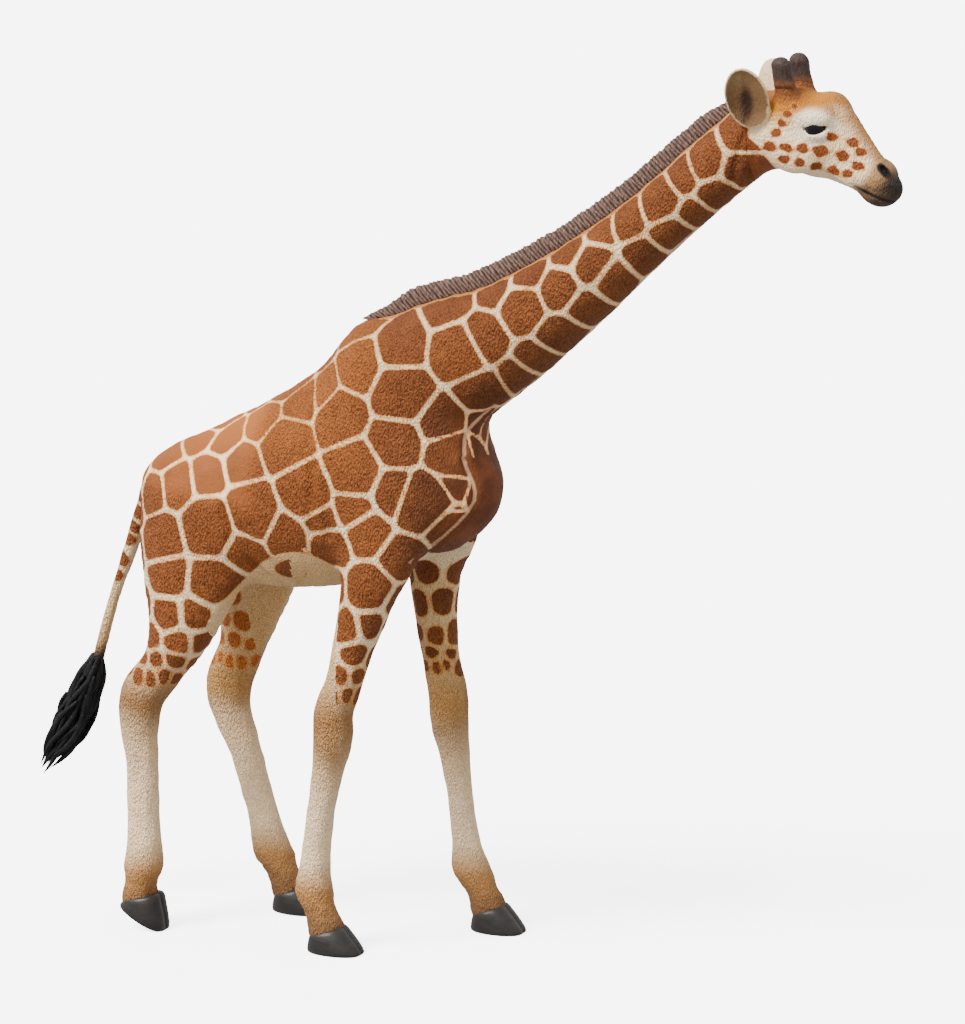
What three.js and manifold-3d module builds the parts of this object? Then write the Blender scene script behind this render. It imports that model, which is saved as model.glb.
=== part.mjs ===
// A moulded toy figure of a reticulated giraffe, walking, with its right hind heel raised.
//
// Millimetres. +X is the way the animal faces, +Y its left side and +Z up. The hooves stand on Z = 0.
// The tables below place the animal with its middle plane on Y = 0; at the end the whole figure is moved
// so that the origin is the middle of its bounding box's floor.
//
// The flesh is one smooth field of distances, blended from limbs. A limb is a line of stations with an
// oval section at each. The field is wrapped in triangles one part at a time and parted with thin cuts.

import * as THREE from "three";
import { mergeVertices } from "three/addons/utils/BufferGeometryUtils.js";
import Module from "manifold-3d";

const wasm = await Module();
wasm.setup();

// ---- Driving dimensions -------------------------------------------------------------------------

const FLOOR = 0.75; // the height of the floor in the tables
const CUT = 0.3; // width of the cuts that part the figure
const FAR = 400; // longer than anything in the figure
const STEPS = 3; // sections laid between two stations of a limb
const CLEAR = 7; // farther off than this, a limb is no longer measured exactly

// Sizes of the triangles that wrap each part.
const CELL = { trunk: 4.4, neck: 3.7, head: 1.9, horn: 1.5, thigh: 3.3 };

// Stations, as [x, y, z, half depth, half width]: depth lies in the animal's side view, across the limb.
const BARREL = [
  [-57.0, 0, 85.0, 8.4, 8.6],
  [-50, 0, 85.2, 13.7, 12.4],
  [-40, 0, 86.6, 17.3, 14.0],
  [-29, 0, 89.4, 19.1, 14.4],
  [-17, 0, 93.0, 18.6, 13.2],
  [-6, 0, 93.5, 15.0, 11.5],
];
const WITHERS = [
  [-30, 0, 99, 8.5, 6],
  [-22, 0, 106, 9.5, 6.5],
  [-14, 0, 111.5, 11.5, 7.4],
];
const NECK = [
  [-11.5, 0, 108.6, 14.2, 10.5],
  [-2.2, 0, 115.4, 12.8, 9.8],
  [9.0, 0, 121.4, 10.4, 8.2],
  [25.8, 0, 133.5, 7.8, 6.6],
  [41.2, 0, 146.6, 6.3, 5.5],
  [52.2, 0, 156.4, 6.3, 5.3],
  [60.5, 0, 163.2, 6.4, 5.4],
];
const BRISKET = [
  [-4, 0, 96, 9, 8.5],
  [0.9, 0, 91.2, 7.6, 6.8],
];
const HEAD = [
  [62.6, 0, 164.8, 6.2, 5.6],
  [67.5, 0, 164.2, 7.5, 6.0],
  [72.3, 0, 163.2, 7.6, 5.7],
  [76.4, 0, 160.8, 5.9, 4.6],
  [80.2, 0, 158.0, 4.4, 3.6],
  [83.4, 0, 155.7, 3.5, 3.1],
  [85.1, 0, 154.5, 2.7, 2.9],
];
const TAIL = [
  [-60.8, 0, 90.6, 3.4, 3.8],
  [-64.8, 0, 87.6, 2.4, 2.7],
  [-67.6, 0, 82, 1.7, 1.9],
  [-70.4, 0, 74.5, 1.4, 1.5],
  [-74.8, 0, 62.5, 1.1, 1.1],
  [-78.2, 0, 51, 1.1, 1.1],
];
const TUFT = [
  [-78.6, 0, 51.5, 1.3, 1.3],
  [-80.6, 0, 45.8, 3.6, 2.9],
  [-83.6, 0, 38.8, 4.3, 3.3],
  [-87.2, 0, 32.3, 3.4, 2.8],
  [-91.4, 0, 26.4, 1.2, 1.1],
];
const FORE_RIGHT = [
  [-17, -5.5, 108, 8.5, 3.6],
  [-12, -7.6, 95, 9.0, 5.0],
  [-11.5, -9.4, 84, 8.4, 5.0],
  [-14.0, -10.8, 72.5, 5.6, 4.6],
  [-16.8, -11.6, 62, 4.0, 3.9],
  [-19.0, -11.9, 54, 3.6, 3.5],
  [-20.9, -12, 48.5, 3.9, 3.6],
  [-21.1, -12, 43.5, 3.9, 3.7],
  [-22.2, -12, 37.5, 3.2, 3.0],
  [-23.7, -12, 29, 2.7, 2.6],
  [-24.9, -12, 20, 2.8, 2.6],
  [-25.3, -12, 12.8, 3.3, 3.1],
  [-24.2, -12, 9.2, 3.0, 3.0],
  [-22.8, -12, 5.2, 3.5, 3.5],
];
const FORE_LEFT = [
  [-15, 5.5, 108, 8.5, 3.6],
  [-9.5, 7.6, 95, 9.0, 5.0],
  [-8.0, 9.6, 84, 8.2, 5.0],
  [-10.3, 11.6, 72.5, 5.2, 4.4],
  [-10.4, 12.6, 62, 4.1, 3.9],
  [-9.6, 13.1, 54, 3.6, 3.5],
  [-8.3, 13.3, 47.5, 3.9, 3.7],
  [-8.1, 13.4, 42.5, 3.8, 3.6],
  [-7.2, 13.6, 36, 3.0, 3.0],
  [-6, 13.8, 27, 2.5, 2.5],
  [-4.9, 14, 18.5, 2.8, 2.6],
  [-3.8, 14, 12.8, 3.3, 3.1],
  [-1.8, 14, 9.2, 3.0, 3.0],
  [0.0, 14, 5.2, 3.5, 3.5],
];
const HIND_RIGHT = [
  [-55, -5.5, 91, 9.5, 5.5],
  [-52.0, -7.8, 80, 12.0, 6.4],
  [-52.6, -9.8, 70, 9.6, 6.0],
  [-54.2, -10.8, 61.5, 6.6, 5.0],
  [-57.8, -11.2, 54, 4.5, 4.1],
  [-62.4, -11.4, 47.6, 4.5, 3.7],
  [-63.2, -11.5, 42, 4.0, 3.4],
  [-62.7, -11.5, 34, 3.2, 2.9],
  [-62.5, -11.6, 24, 3.2, 2.8],
  [-62.4, -11.8, 15, 3.7, 3.3],
  [-62.9, -11.9, 10.5, 3.1, 3.0],
  [-63.4, -12, 6.6, 3.5, 3.3],
];
const HIND_LEFT = [
  [-53, 5.5, 91, 9.5, 5.5],
  [-48.2, 7.4, 80, 11.6, 6.2],
  [-47.7, 8.8, 70, 9.0, 5.8],
  [-49.3, 9.6, 61.5, 6.2, 4.9],
  [-51.5, 10.0, 53.5, 4.6, 4.1],
  [-54.5, 10.3, 46.0, 4.8, 3.7],
  [-54.2, 10.4, 40.8, 4.2, 3.3],
  [-51.2, 10.5, 32.7, 3.2, 2.8],
  [-48.3, 10.5, 23.2, 3.0, 2.7],
  [-45.4, 10.5, 12.8, 3.5, 3.2],
  [-43.5, 10.5, 9.2, 3.0, 3.0],
  [-41.9, 10.5, 5.2, 3.4, 3.4],
];

// Each hoof: its toe on the floor, its pitch in degrees, and in its own side view the heights of the
// coronet at heel and front, with how far back from the toe the front lies.
const HOOVES = {
  fore_right: { toe: [-15.0, -12], pitch: 0, length: 11.4, heel: 3.2, front: 5.2, set: 4.2 },
  fore_left: { toe: [7.8, 14], pitch: 0, length: 11.2, heel: 3.2, front: 5.4, set: 4.4 },
  hind_right: { toe: [-57.6, -12], pitch: -27, length: 10.8, heel: 1.6, front: 6.2, set: 4.6 },
  hind_left: { toe: [-33.8, 10.5], pitch: 0, length: 11.2, heel: 3.2, front: 5.2, set: 4.2 },
};
const HOOF_WIDTH = 8.2;
const CLEFT = 0.5; // the gap between the two claws of a hoof
const TOE_FLAT = 0.45; // how deep a pitched hoof's toe is worn flat

// ---- Fields of distance -------------------------------------------------------------------------

// The smooth curves through a limb's stations: the line itself, and its section's two half sizes.
function spine(stations) {
  const middles = stations.map(([x, y, z]) => new THREE.Vector3(x, y, z));
  const halves = stations.map(([, , , deep, wide]) => new THREE.Vector3(deep, wide, 0));
  const path = new THREE.CatmullRomCurve3(middles, false, "centripetal");
  const sizes = new THREE.CatmullRomCurve3(halves, false, "centripetal");
  return { path, sizes, count: (stations.length - 1) * STEPS };
}

// The two axes of a limb's section, square to the way it runs.
function axes(along) {
  const side = new THREE.Vector3(0, 1, 0);
  side.addScaledVector(along, -side.dot(along)).normalize();
  return { side, deep: new THREE.Vector3().crossVectors(side, along) };
}

// A limb's field, from stations of oval sections joined by one smooth curve.
function limb(stations) {
  const { path, sizes, count } = spine(stations);
  const pieces = [];
  for (let i = 0; i < count; i++) {
    const from = path.getPoint(i / count);
    const to = path.getPoint((i + 1) / count);
    const along = to.clone().sub(from);
    const length = along.length();
    along.normalize();
    const start = sizes.getPoint(i / count);
    const end = sizes.getPoint((i + 1) / count);
    pieces.push({ from, along, length, start, end, ...axes(along) });
  }
  const around = new THREE.Box3().setFromPoints(path.getPoints(count)).expandByScalar(
    Math.max(...stations.flatMap((station) => station.slice(3))),
  );
  return (p) => {
    const outside = around.distanceToPoint(p);
    if (outside > CLEAR) return outside;
    let best = Infinity;
    for (const { from, along, side, deep, length, start, end } of pieces) {
      const x = p.x - from.x;
      const y = p.y - from.y;
      const z = p.z - from.z;
      const s = x * along.x + y * along.y + z * along.z;
      const t = Math.min(Math.max(s / length, 0), 1);
      const a = start.x + (end.x - start.x) * t;
      const b = start.y + (end.y - start.y) * t;
      const c = Math.min(a, b);
      const u = x * deep.x + y * deep.y + z * deep.z;
      const v = x * side.x + y * side.y + z * side.z;
      best = Math.min(best, oval(u, v, s - t * length, a, b, c));
    }
    return best;
  };
}

// Roughly the distance from a point to an ellipsoid with the half sizes a, b and c.
function oval(u, v, w, a, b, c) {
  const near = Math.hypot(u / a, v / b, w / c);
  const slope = Math.hypot(u / (a * a), v / (b * b), w / (c * c));
  return slope < 1e-6 ? -Math.min(a, b, c) : (near * (near - 1)) / slope;
}

// An ellipsoid's field. Its first half size lies along an axis that is tilted up from +X, in degrees.
function egg([x, y, z], [a, b, c], tilt = 0) {
  const across = new THREE.Vector3(0, 1, 0);
  const turned = new THREE.Quaternion().setFromAxisAngle(across, THREE.MathUtils.degToRad(tilt));
  const local = new THREE.Vector3();
  return (p) => {
    local.set(p.x - x, p.y - y, p.z - z).applyQuaternion(turned);
    return oval(local.x, local.y, local.z, a, b, c);
  };
}

// Two fields joined with a fillet about as wide as reach.
function blend(reach, ...fields) {
  return (p) =>
    fields.reduce((joined, field) => {
      const other = field(p);
      const h = Math.max(reach - Math.abs(joined - other), 0) / reach;
      return Math.min(joined, other) - (h * h * reach) / 4;
    }, FAR);
}

const BOTH = [-1, 1]; // the right side, then the left

const EYE = { x: 72.9, y: 4.7, z: 165.4, radius: 2.0 };
const horns = BOTH.map((s) =>
  limb([
    [67.6 + 0.3 * s, s * 3.5, 168, 2.6, 2.5],
    [67.0 + 0.3 * s, s * 3.7, 171.5, 2.0, 1.9],
    [66.4 + 0.3 * s, s * 3.8, 174.5, 1.75, 1.75],
    [66.1 + 0.3 * s, s * 3.8, 176.0, 1.8, 1.8],
  ]),
);
const skull = blend(
  2.0,
  limb(HEAD),
  egg([74.6, 0, 168.4], [2.8, 2.7, 3.0], -20), // the bump on the forehead
  ...BOTH.map((s) => egg([71.8, s * 4.0, 166.9], [4.0, 1.9, 2.2], -12)), // brows
  ...BOTH.map((s) => egg([68.5, s * 4.2, 160.4], [4.6, 1.7, 3.6], -8)), // cheeks
  ...BOTH.map((s) => egg([83.9, s * 1.9, 156.2], [1.8, 1.3, 1.5], -35)), // the nostrils' wings
  egg([85.2, 0, 153.9], [1.6, 2.6, 1.9], -60), // upper lip
  egg([83.2, 0, 152.9], [2.4, 2.1, 1.5], -14), // chin
  ...horns,
);
const LEGS = { fore_right: FORE_RIGHT, fore_left: FORE_LEFT, hind_right: HIND_RIGHT, hind_left: HIND_LEFT };
const SHANK = 3; // the station from which the lower part of a leg is laid
const trunkAndNeck = blend(6, limb(BARREL), limb(WITHERS), limb(NECK), limb(BRISKET));
const bodyAndLegs = blend(4.5, trunkAndNeck, blend(1.2, ...Object.values(LEGS).map(limb)));
const flesh = blend(3.2, bodyAndLegs, skull);

// ---- Wrapping a field in triangles --------------------------------------------------------------

const EDGES = [
  [[0, 1, 0], [0, 0, 1]],
  [[0, 0, 1], [1, 0, 0]],
  [[1, 0, 0], [0, 1, 0]],
]; // for a grid line along X, Y and Z, the two ways to the cells round it

// Wraps the part of a field inside a box, and closes it along the box's sides, as a manifold solid.
function wrap(field, box, cell) {
  const size = box.getSize(new THREE.Vector3());
  const [nx, ny, nz] = size.toArray().map((side) => Math.ceil(side / cell) + 1);
  const at = (i, j, k) => (k * ny + j) * nx + i;
  const value = new Float32Array(nx * ny * nz);
  const p = new THREE.Vector3();
  for (let k = 0; k < nz; k++)
    for (let j = 0; j < ny; j++)
      for (let i = 0; i < nx; i++) {
        const edge = i === 0 || j === 0 || k === 0 || i === nx - 1 || j === ny - 1 || k === nz - 1;
        p.set(i, j, k).multiplyScalar(cell).add(box.min);
        value[at(i, j, k)] = edge ? cell : field(p);
      }
  unpinch(value, at, nx, ny, nz);
  const points = [];
  const index = new Int32Array(value.length).fill(-1);
  for (let k = 0; k < nz - 1; k++)
    for (let j = 0; j < ny - 1; j++)
      for (let i = 0; i < nx - 1; i++) {
        const middle = cellPoint(value, at, i, j, k);
        if (!middle) continue;
        index[at(i, j, k)] = points.length;
        points.push(settle(field, middle.multiplyScalar(cell).add(box.min), cell));
      }
  const triangles = [];
  for (let k = 0; k < nz - 1; k++)
    for (let j = 0; j < ny - 1; j++)
      for (let i = 0; i < nx - 1; i++)
        EDGES.forEach(([a, b], axis) => {
          const here = value[at(i, j, k)] < 0;
          const there = value[at(i + (axis === 0), j + (axis === 1), k + (axis === 2))] < 0;
          if (here === there) return;
          const ring = [[0, 0], [1, 0], [1, 1], [0, 1]].map(
            ([m, n]) => index[at(i - m * a[0] - n * b[0], j - m * a[1] - n * b[1], k - m * a[2] - n * b[2])],
          );
          if (!here) ring.reverse();
          triangles.push(ring[0], ring[1], ring[2], ring[0], ring[2], ring[3]);
        });
  const made = new THREE.BufferGeometry().setAttribute(
    "position",
    new THREE.Float32BufferAttribute(points.flatMap((q) => q.toArray()), 3),
  );
  return solidOf(made.setIndex(triangles));
}

// Fills the thinner of the two corners where a grid square has two opposite corners inside and two outside.
function unpinch(value, at, nx, ny, nz) {
  let found = 1;
  while (found) {
    found = 0;
    for (let k = 0; k < nz - 1; k++)
      for (let j = 0; j < ny - 1; j++)
        for (let i = 0; i < nx - 1; i++)
          for (const [a, b] of EDGES) {
            const ring = [[0, 0], [1, 0], [1, 1], [0, 1]].map(([m, n]) =>
              at(i + m * a[0] + n * b[0], j + m * a[1] + n * b[1], k + m * a[2] + n * b[2]),
            );
            const inside = ring.map((corner) => value[corner] < 0);
            if (inside[0] !== inside[2] || inside[1] !== inside[3] || inside[0] === inside[1]) continue;
            const [m, n] = ring.filter((corner, q) => !inside[q]);
            value[value[m] < value[n] ? m : n] = -1e-3;
            found++;
          }
  }
}

// The middle of a cell's crossings with the surface, in cells, or null where the surface misses it.
function cellPoint(value, at, i, j, k) {
  const sum = new THREE.Vector3();
  let found = 0;
  for (let axis = 0; axis < 3; axis++)
    for (const [m, n] of [[0, 0], [1, 0], [0, 1], [1, 1]]) {
      const step = [m, n];
      const low = [0, 1, 2].map((other) => (other === axis ? 0 : step[(other - axis + 2) % 3]));
      const a = value[at(i + low[0], j + low[1], k + low[2])];
      const b = value[at(i + low[0] + (axis === 0), j + low[1] + (axis === 1), k + low[2] + (axis === 2))];
      if (a < 0 === b < 0) continue;
      const share = a / (a - b);
      const crossing = new THREE.Vector3(i + low[0], j + low[1], k + low[2]);
      sum.add(crossing.setComponent(axis, [i, j, k][axis] + share));
      found++;
    }
  return found ? sum.divideScalar(found) : null;
}

// Moves a point that is near the surface onto it.
function settle(field, point, cell) {
  const probe = cell / 8;
  for (let pass = 0; pass < 3; pass++) {
    const off = field(point);
    if (Math.abs(off) > cell) break;
    const slope = new THREE.Vector3(...["x", "y", "z"].map((axis) => {
      const ahead = point.clone();
      const behind = point.clone();
      ahead[axis] += probe;
      behind[axis] -= probe;
      return (field(ahead) - field(behind)) / (2 * probe);
    }));
    point.addScaledVector(slope, -off / Math.max(slope.lengthSq(), 0.25));
  }
  return point;
}

// ---- Solids -------------------------------------------------------------------------------------

function solidOf(geometry) {
  const plain = new THREE.BufferGeometry().setAttribute("position", geometry.getAttribute("position"));
  plain.setIndex(geometry.index);
  const merged = mergeVertices(plain, 1e-4);
  return new wasm.Manifold(
    new wasm.Mesh({
      numProp: 3,
      vertProperties: new Float32Array(merged.attributes.position.array),
      triVerts: new Uint32Array(merged.index.array),
    }),
  );
}

// A solid without what lies past a plane, where past is the side its normal points to.
function trim(solid, point, normal, gap = CUT / 2) {
  const up = new THREE.Vector3(0, 0, 1);
  const away = new THREE.Vector3(...normal).normalize();
  const knife = new THREE.BoxGeometry(FAR, FAR, FAR);
  knife.translate(0, 0, FAR / 2 - gap);
  knife.applyQuaternion(new THREE.Quaternion().setFromUnitVectors(up, away));
  knife.translate(...point);
  return solid.subtract(solidOf(knife));
}

const figure = new THREE.Group();
figure.name = "reticulated_giraffe_figure";

const plastic = (color, roughness) => new THREE.MeshStandardMaterial({ color, roughness, metalness: 0 });
const FINISH = {
  coat: plastic(0xa5613a, 0.62),
  pale: plastic(0xd9c6a5, 0.66),
  horn: plastic(0x3b2a26, 0.6),
  mane: plastic(0x5d4740, 0.7),
  hoof: plastic(0x3a3432, 0.5),
  tuft: plastic(0x17171a, 0.4),
  eye: plastic(0x0c0a0a, 0.12),
};

function add(name, solid, finish) {
  const { vertProperties, triVerts } = solid.getMesh();
  const geometry = new THREE.BufferGeometry();
  geometry.setAttribute("position", new THREE.BufferAttribute(new Float32Array(vertProperties), 3));
  geometry.setIndex(new THREE.BufferAttribute(triVerts, 1));
  geometry.computeVertexNormals();
  const mesh = new THREE.Mesh(geometry, FINISH[finish]);
  mesh.name = name;
  figure.add(mesh);
}

const boxOf = (low, high) => new THREE.Box3(new THREE.Vector3(...low), new THREE.Vector3(...high));

// What a box holds past a plane, as a solid.
function region(box, { point, normal }, gap) {
  const size = box.getSize(new THREE.Vector3());
  const middle = box.getCenter(new THREE.Vector3());
  const block = new THREE.BoxGeometry(...size.toArray()).translate(...middle.toArray());
  return trim(solidOf(block), point, normal.map((n) => -n), gap);
}

// The cuts: a point on each, and the way towards the part farther from the trunk.
const NECK_CUT = { point: [-3, 0, 117], normal: [0.78, 0, 0.63] };
const HEAD_CUT = { point: [60, 0, 163], normal: [0.86, 0, 0.5] };
const MOUTH_CUT = { point: [82.5, 0, 153.8], normal: [-0.44, 0, -0.9] };
const JAW_CUT = { point: [67, 0, 160], normal: [1, 0, 0] };
const HORN_CUT = { point: [67, 0, 172.4], normal: [0, 0, 1] };
const TUFT_CUT = { point: [-78.2, 0, 52], normal: [-0.3, 0, -0.95] };
const THIGH_CUT = {
  fore_right: [-12, -10, 73],
  fore_left: [-10, 10, 73],
  hind_right: [-52, -10, 70],
  hind_left: [-48, 9, 70],
};
const THIGH_TURN = { fore: [0.25, 0, -1], hind: [-0.5, 0, -1] };
const KNEE_CUT = { fore_right: 46, fore_left: 45, hind_right: 45, hind_left: 43.5 };
const LEG_BOX = {
  fore_right: [[-31, -18, 38], [2, 0, 80]],
  fore_left: [[-20, 0, 38], [6, 20, 80]],
  hind_right: [[-71, -18, 38], [-38, 0, 84]],
  hind_left: [[-66, 0, 38], [-34, 17, 84]],
};

// ---- Trunk, neck and head -----------------------------------------------------------------------

function makeTrunk() {
  let solid = wrap(bodyAndLegs, boxOf([-72, -20, 58], [16, 20, 130]), CELL.trunk);
  solid = trim(solid, NECK_CUT.point, NECK_CUT.normal);
  for (const [leg, box] of Object.entries(LEG_BOX)) {
    const cut = { point: THIGH_CUT[leg], normal: THIGH_TURN[leg.slice(0, 4)] };
    solid = solid.subtract(region(boxOf(...box), cut, CUT / 2));
  }
  add("trunk", solid, "coat");
}

function makeNeck() {
  let solid = wrap(flesh, boxOf([-16, -14, 98], [68, 14, 176]), CELL.neck);
  solid = trim(solid, NECK_CUT.point, NECK_CUT.normal.map((n) => -n));
  solid = trim(solid, HEAD_CUT.point, HEAD_CUT.normal);
  add("neck", solid, "coat");
}

function ball(x, y, z, radius) {
  return solidOf(new THREE.SphereGeometry(radius, 10, 8).translate(x, y, z));
}

function makeHead() {
  let solid = wrap(flesh, boxOf([54, -12, 148], [92, 12, 181]), CELL.head);
  solid = trim(solid, HEAD_CUT.point, HEAD_CUT.normal.map((n) => -n));
  for (const s of BOTH) solid = solid.subtract(ball(EYE.x, s * EYE.y, EYE.z, EYE.radius + CUT));
  const whole = trim(solid, HORN_CUT.point, HORN_CUT.normal);
  const front = region(boxOf([50, -20, 140], [100, 20, 180]), JAW_CUT, CUT / 2);
  const below = region(boxOf([50, -20, 140], [100, 20, 180]), MOUTH_CUT, CUT / 2);
  add("head", whole.subtract(front.intersect(below)), "coat");
  const jaw = trim(trim(whole, MOUTH_CUT.point, MOUTH_CUT.normal.map((n) => -n)), JAW_CUT.point, [-1, 0, 0]);
  add("jaw", jaw, "pale");
}

function makeHorn(side, s) {
  const box = boxOf([60, Math.min(0, s * 9), 168], [74, Math.max(0, s * 9), 181]);
  add(`ossicone_${side}`, trim(wrap(skull, box, CELL.horn), HORN_CUT.point, [0, 0, -1]), "horn");
}

function makeEar(side, s) {
  const lay = (geometry) =>
    geometry
      .rotateX(THREE.MathUtils.degToRad(s * -8))
      .rotateY(THREE.MathUtils.degToRad(-18))
      .rotateZ(THREE.MathUtils.degToRad(s * -15))
      .translate(60.6, s * 7.4, 170.4);
  const shell = solidOf(lay(new THREE.SphereGeometry(1, 12, 8).scale(3.9, 1.9, 5.8)));
  const scoop = new THREE.SphereGeometry(1, 12, 8).scale(3.2, 1.8, 5.1).translate(0, s * 0.95, 0.2);
  const hollow = solidOf(lay(scoop));
  const beside = boxOf([56, Math.min(0, s * 12), 160], [68, Math.max(0, s * 12), 176]);
  const near = wrap((p) => flesh(p) - CUT, beside, 1.5);
  add(`ear_${side}`, shell.subtract(hollow).subtract(near), "coat");
}

// ---- Mane and tail ------------------------------------------------------------------------------

const MANE = { from: [-15.5, 0, 120], to: [58.5, 0, 168], low: 3.7, high: 2.6, width: 2.6, rings: 22 };

// The point above a line through the neck, square to it, that is clear of the flesh.
function crest(t) {
  const from = new THREE.Vector3(...MANE.from);
  const way = new THREE.Vector3(...MANE.to).sub(from);
  const up = new THREE.Vector3(-way.z, 0, way.x).normalize();
  const point = from.addScaledVector(way, t).addScaledVector(up, -4);
  while (flesh(point) < CUT + 0.1) point.addScaledVector(up, 0.05);
  return { point, up };
}

// A closed solid from rings of points, each ring in the same order.
function loft(rings) {
  const count = rings[0].length;
  const points = rings.flat();
  const index = [];
  for (let r = 0; r < rings.length - 1; r++)
    for (let i = 0; i < count; i++) {
      const a = r * count + i;
      const b = r * count + ((i + 1) % count);
      index.push(a, b + count, b, a, a + count, b + count);
    }
  const last = (rings.length - 1) * count;
  for (let i = 1; i < count - 1; i++) {
    index.push(0, i, i + 1);
    index.push(last, last + i + 1, last + i);
  }
  const geometry = new THREE.BufferGeometry().setAttribute(
    "position",
    new THREE.Float32BufferAttribute(points.flatMap((q) => q.toArray()), 3),
  );
  return solidOf(geometry.setIndex(index));
}

function makeMane() {
  const rings = [];
  for (let r = 0; r <= MANE.rings; r++) {
    const t = r / MANE.rings;
    const { point, up } = crest(t);
    const full = Math.min(1, 0.25 + 5 * t, 0.35 + 6 * (1 - t));
    const tooth = r % 2 ? 0.25 : 0;
    const height = (MANE.low + (MANE.high - MANE.low) * t) * full - tooth;
    const section = [[-0.45, 0], [-0.5, 0.35], [-0.36, 0.8], [0, 1], [0.36, 0.8], [0.5, 0.35], [0.45, 0]];
    rings.push(
      section.map(([across, rise]) =>
        point
          .clone()
          .addScaledVector(up, rise * height)
          .add(new THREE.Vector3(0, across * MANE.width * (0.6 + 0.4 * full), 0)),
      ),
    );
  }
  add("mane", loft(rings), "mane");
}

// Rings of points round a limb.
function sleeve(stations, sides) {
  const { path, sizes, count } = spine(stations);
  const rings = [];
  for (let r = 0; r <= count; r++) {
    const middle = path.getPoint(r / count);
    const size = sizes.getPoint(r / count);
    const { side, deep } = axes(path.getTangent(r / count));
    const ring = [];
    for (let i = 0; i < sides; i++) {
      const angle = (2 * Math.PI * i) / sides;
      const point = middle.clone().addScaledVector(deep, size.x * Math.cos(angle));
      ring.push(point.addScaledVector(side, -size.y * Math.sin(angle)));
    }
    rings.push(ring);
  }
  return rings;
}

function makeTail() {
  const rump = wrap((p) => bodyAndLegs(p) - CUT, boxOf([-71, -9, 70], [-48, 9, 99]), 2.4);
  add("tail", trim(loft(sleeve(TAIL, 10)), TUFT_CUT.point, TUFT_CUT.normal).subtract(rump), "coat");
  const locks = sleeve(TUFT, 12).map((ring, r) => {
    const middle = ring.reduce((sum, q) => sum.add(q), new THREE.Vector3()).divideScalar(ring.length);
    return ring.map((q, i) => q.lerp(middle, 0.12 * ((r + i) % 3)));
  });
  add("tail_tuft", trim(loft(locks), TUFT_CUT.point, TUFT_CUT.normal.map((n) => -n)), "tuft");
}

// ---- Legs and hooves ----------------------------------------------------------------------------

// A point of a hoof's own side view, with its toe at the origin, moved to the hoof's place.
function stand({ toe, pitch }, u, v, w) {
  const tipped = new THREE.Euler(0, THREE.MathUtils.degToRad(-pitch), 0);
  const point = new THREE.Vector3(u, v, w).applyEuler(tipped);
  return point.add(new THREE.Vector3(toe[0], toe[1], FLOOR - (pitch ? TOE_FLAT : 0)));
}

// One claw, in rings from sole to coronet. Its sole's edge is a little rounded.
function claw(hoof, s) {
  const { length, heel, front, set } = hoof;
  const wide = (HOOF_WIDTH - CLEFT) / 2;
  const rings = [];
  for (const [rise, inset] of [[0, 0.35], [0.12, 0], [0.55, 0.1], [1, 0.4]]) {
    const back = -length + inset + 0.3 * rise;
    const ahead = -set * rise - (rise ? 0 : inset);
    const ring = [];
    for (let i = 0; i <= 8; i++) {
      const angle = (Math.PI * i) / 8;
      const u = (back + ahead) / 2 + ((ahead - back) / 2) * Math.cos(angle);
      const v = CLEFT / 2 + (wide - inset) * Math.sin(angle) ** 0.75;
      const top = heel + ((front - heel) * (u + length)) / (length - set);
      ring.push(stand(hoof, u, s * v, rise * Math.min(top, front)));
    }
    rings.push(s > 0 ? ring.reverse() : ring);
  }
  return rings;
}

function makeHoof(leg, hoof) {
  for (const [name, s] of [["right", -1], ["left", 1]]) {
    add(`hoof_${leg}_${name}_claw`, trim(loft(claw(hoof, s)), [0, 0, FLOOR], [0, 0, -1], 0), "hoof");
  }
}

// The plane of a hoof's coronet.
function coronet(hoof) {
  const rise = Math.atan2(hoof.front - hoof.heel, hoof.length - hoof.set);
  const slope = rise + THREE.MathUtils.degToRad(hoof.pitch);
  const point = stand(hoof, -hoof.set, 0, hoof.front).toArray();
  return { point, normal: [Math.sin(slope), 0, -Math.cos(slope)] };
}

function makeLeg(leg, box) {
  const turn = THIGH_TURN[leg.slice(0, 4)];
  const [, y] = THIGH_CUT[leg];
  const knee = [0, y, KNEE_CUT[leg]];
  const both = boxOf(...box).expandByVector(new THREE.Vector3(0, 6, 0));
  const half = trim(wrap(bodyAndLegs, both, CELL.thigh), [0, 0, 0], [0, -Math.sign(y), 0]);
  const whole = trim(half, THIGH_CUT[leg], turn.map((n) => -n));
  add(`${leg}_upper_leg`, trim(whole, knee, [0, 0, -1]), "coat");
  const shank = loft(sleeve(LEGS[leg].slice(SHANK), 10));
  const plane = coronet(HOOVES[leg]);
  const ended = trim(shank, plane.point, plane.normal, CUT);
  add(`${leg}_lower_leg`, trim(ended, knee, [0, 0, 1]), "pale");
}

// ---- Assembly -----------------------------------------------------------------------------------

makeTrunk();
makeNeck();
makeHead();
for (const [side, s] of [["right", -1], ["left", 1]]) {
  makeHorn(side, s);
  makeEar(side, s);
  add(`eye_${side}`, ball(EYE.x, s * EYE.y, EYE.z, EYE.radius), "eye");
}
makeMane();
makeTail();
for (const [leg, box] of Object.entries(LEG_BOX)) makeLeg(leg, box);
for (const [leg, hoof] of Object.entries(HOOVES)) makeHoof(leg, hoof);

const bounds = new THREE.Box3().setFromObject(figure);
const middle = bounds.getCenter(new THREE.Vector3());
figure.position.set(-middle.x, -middle.y, -bounds.min.z);

export default figure;
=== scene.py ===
"""The looks of a moulded, painted toy giraffe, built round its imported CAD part.

The body is laid out in millimetres in its own frame, with its middle plane on y = 0, and moved onto the
CAD at the end: +X is the way the animal faces, +Y its left side, +Z up.
"""

from math import cos, pi, radians, sin, sqrt

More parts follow.
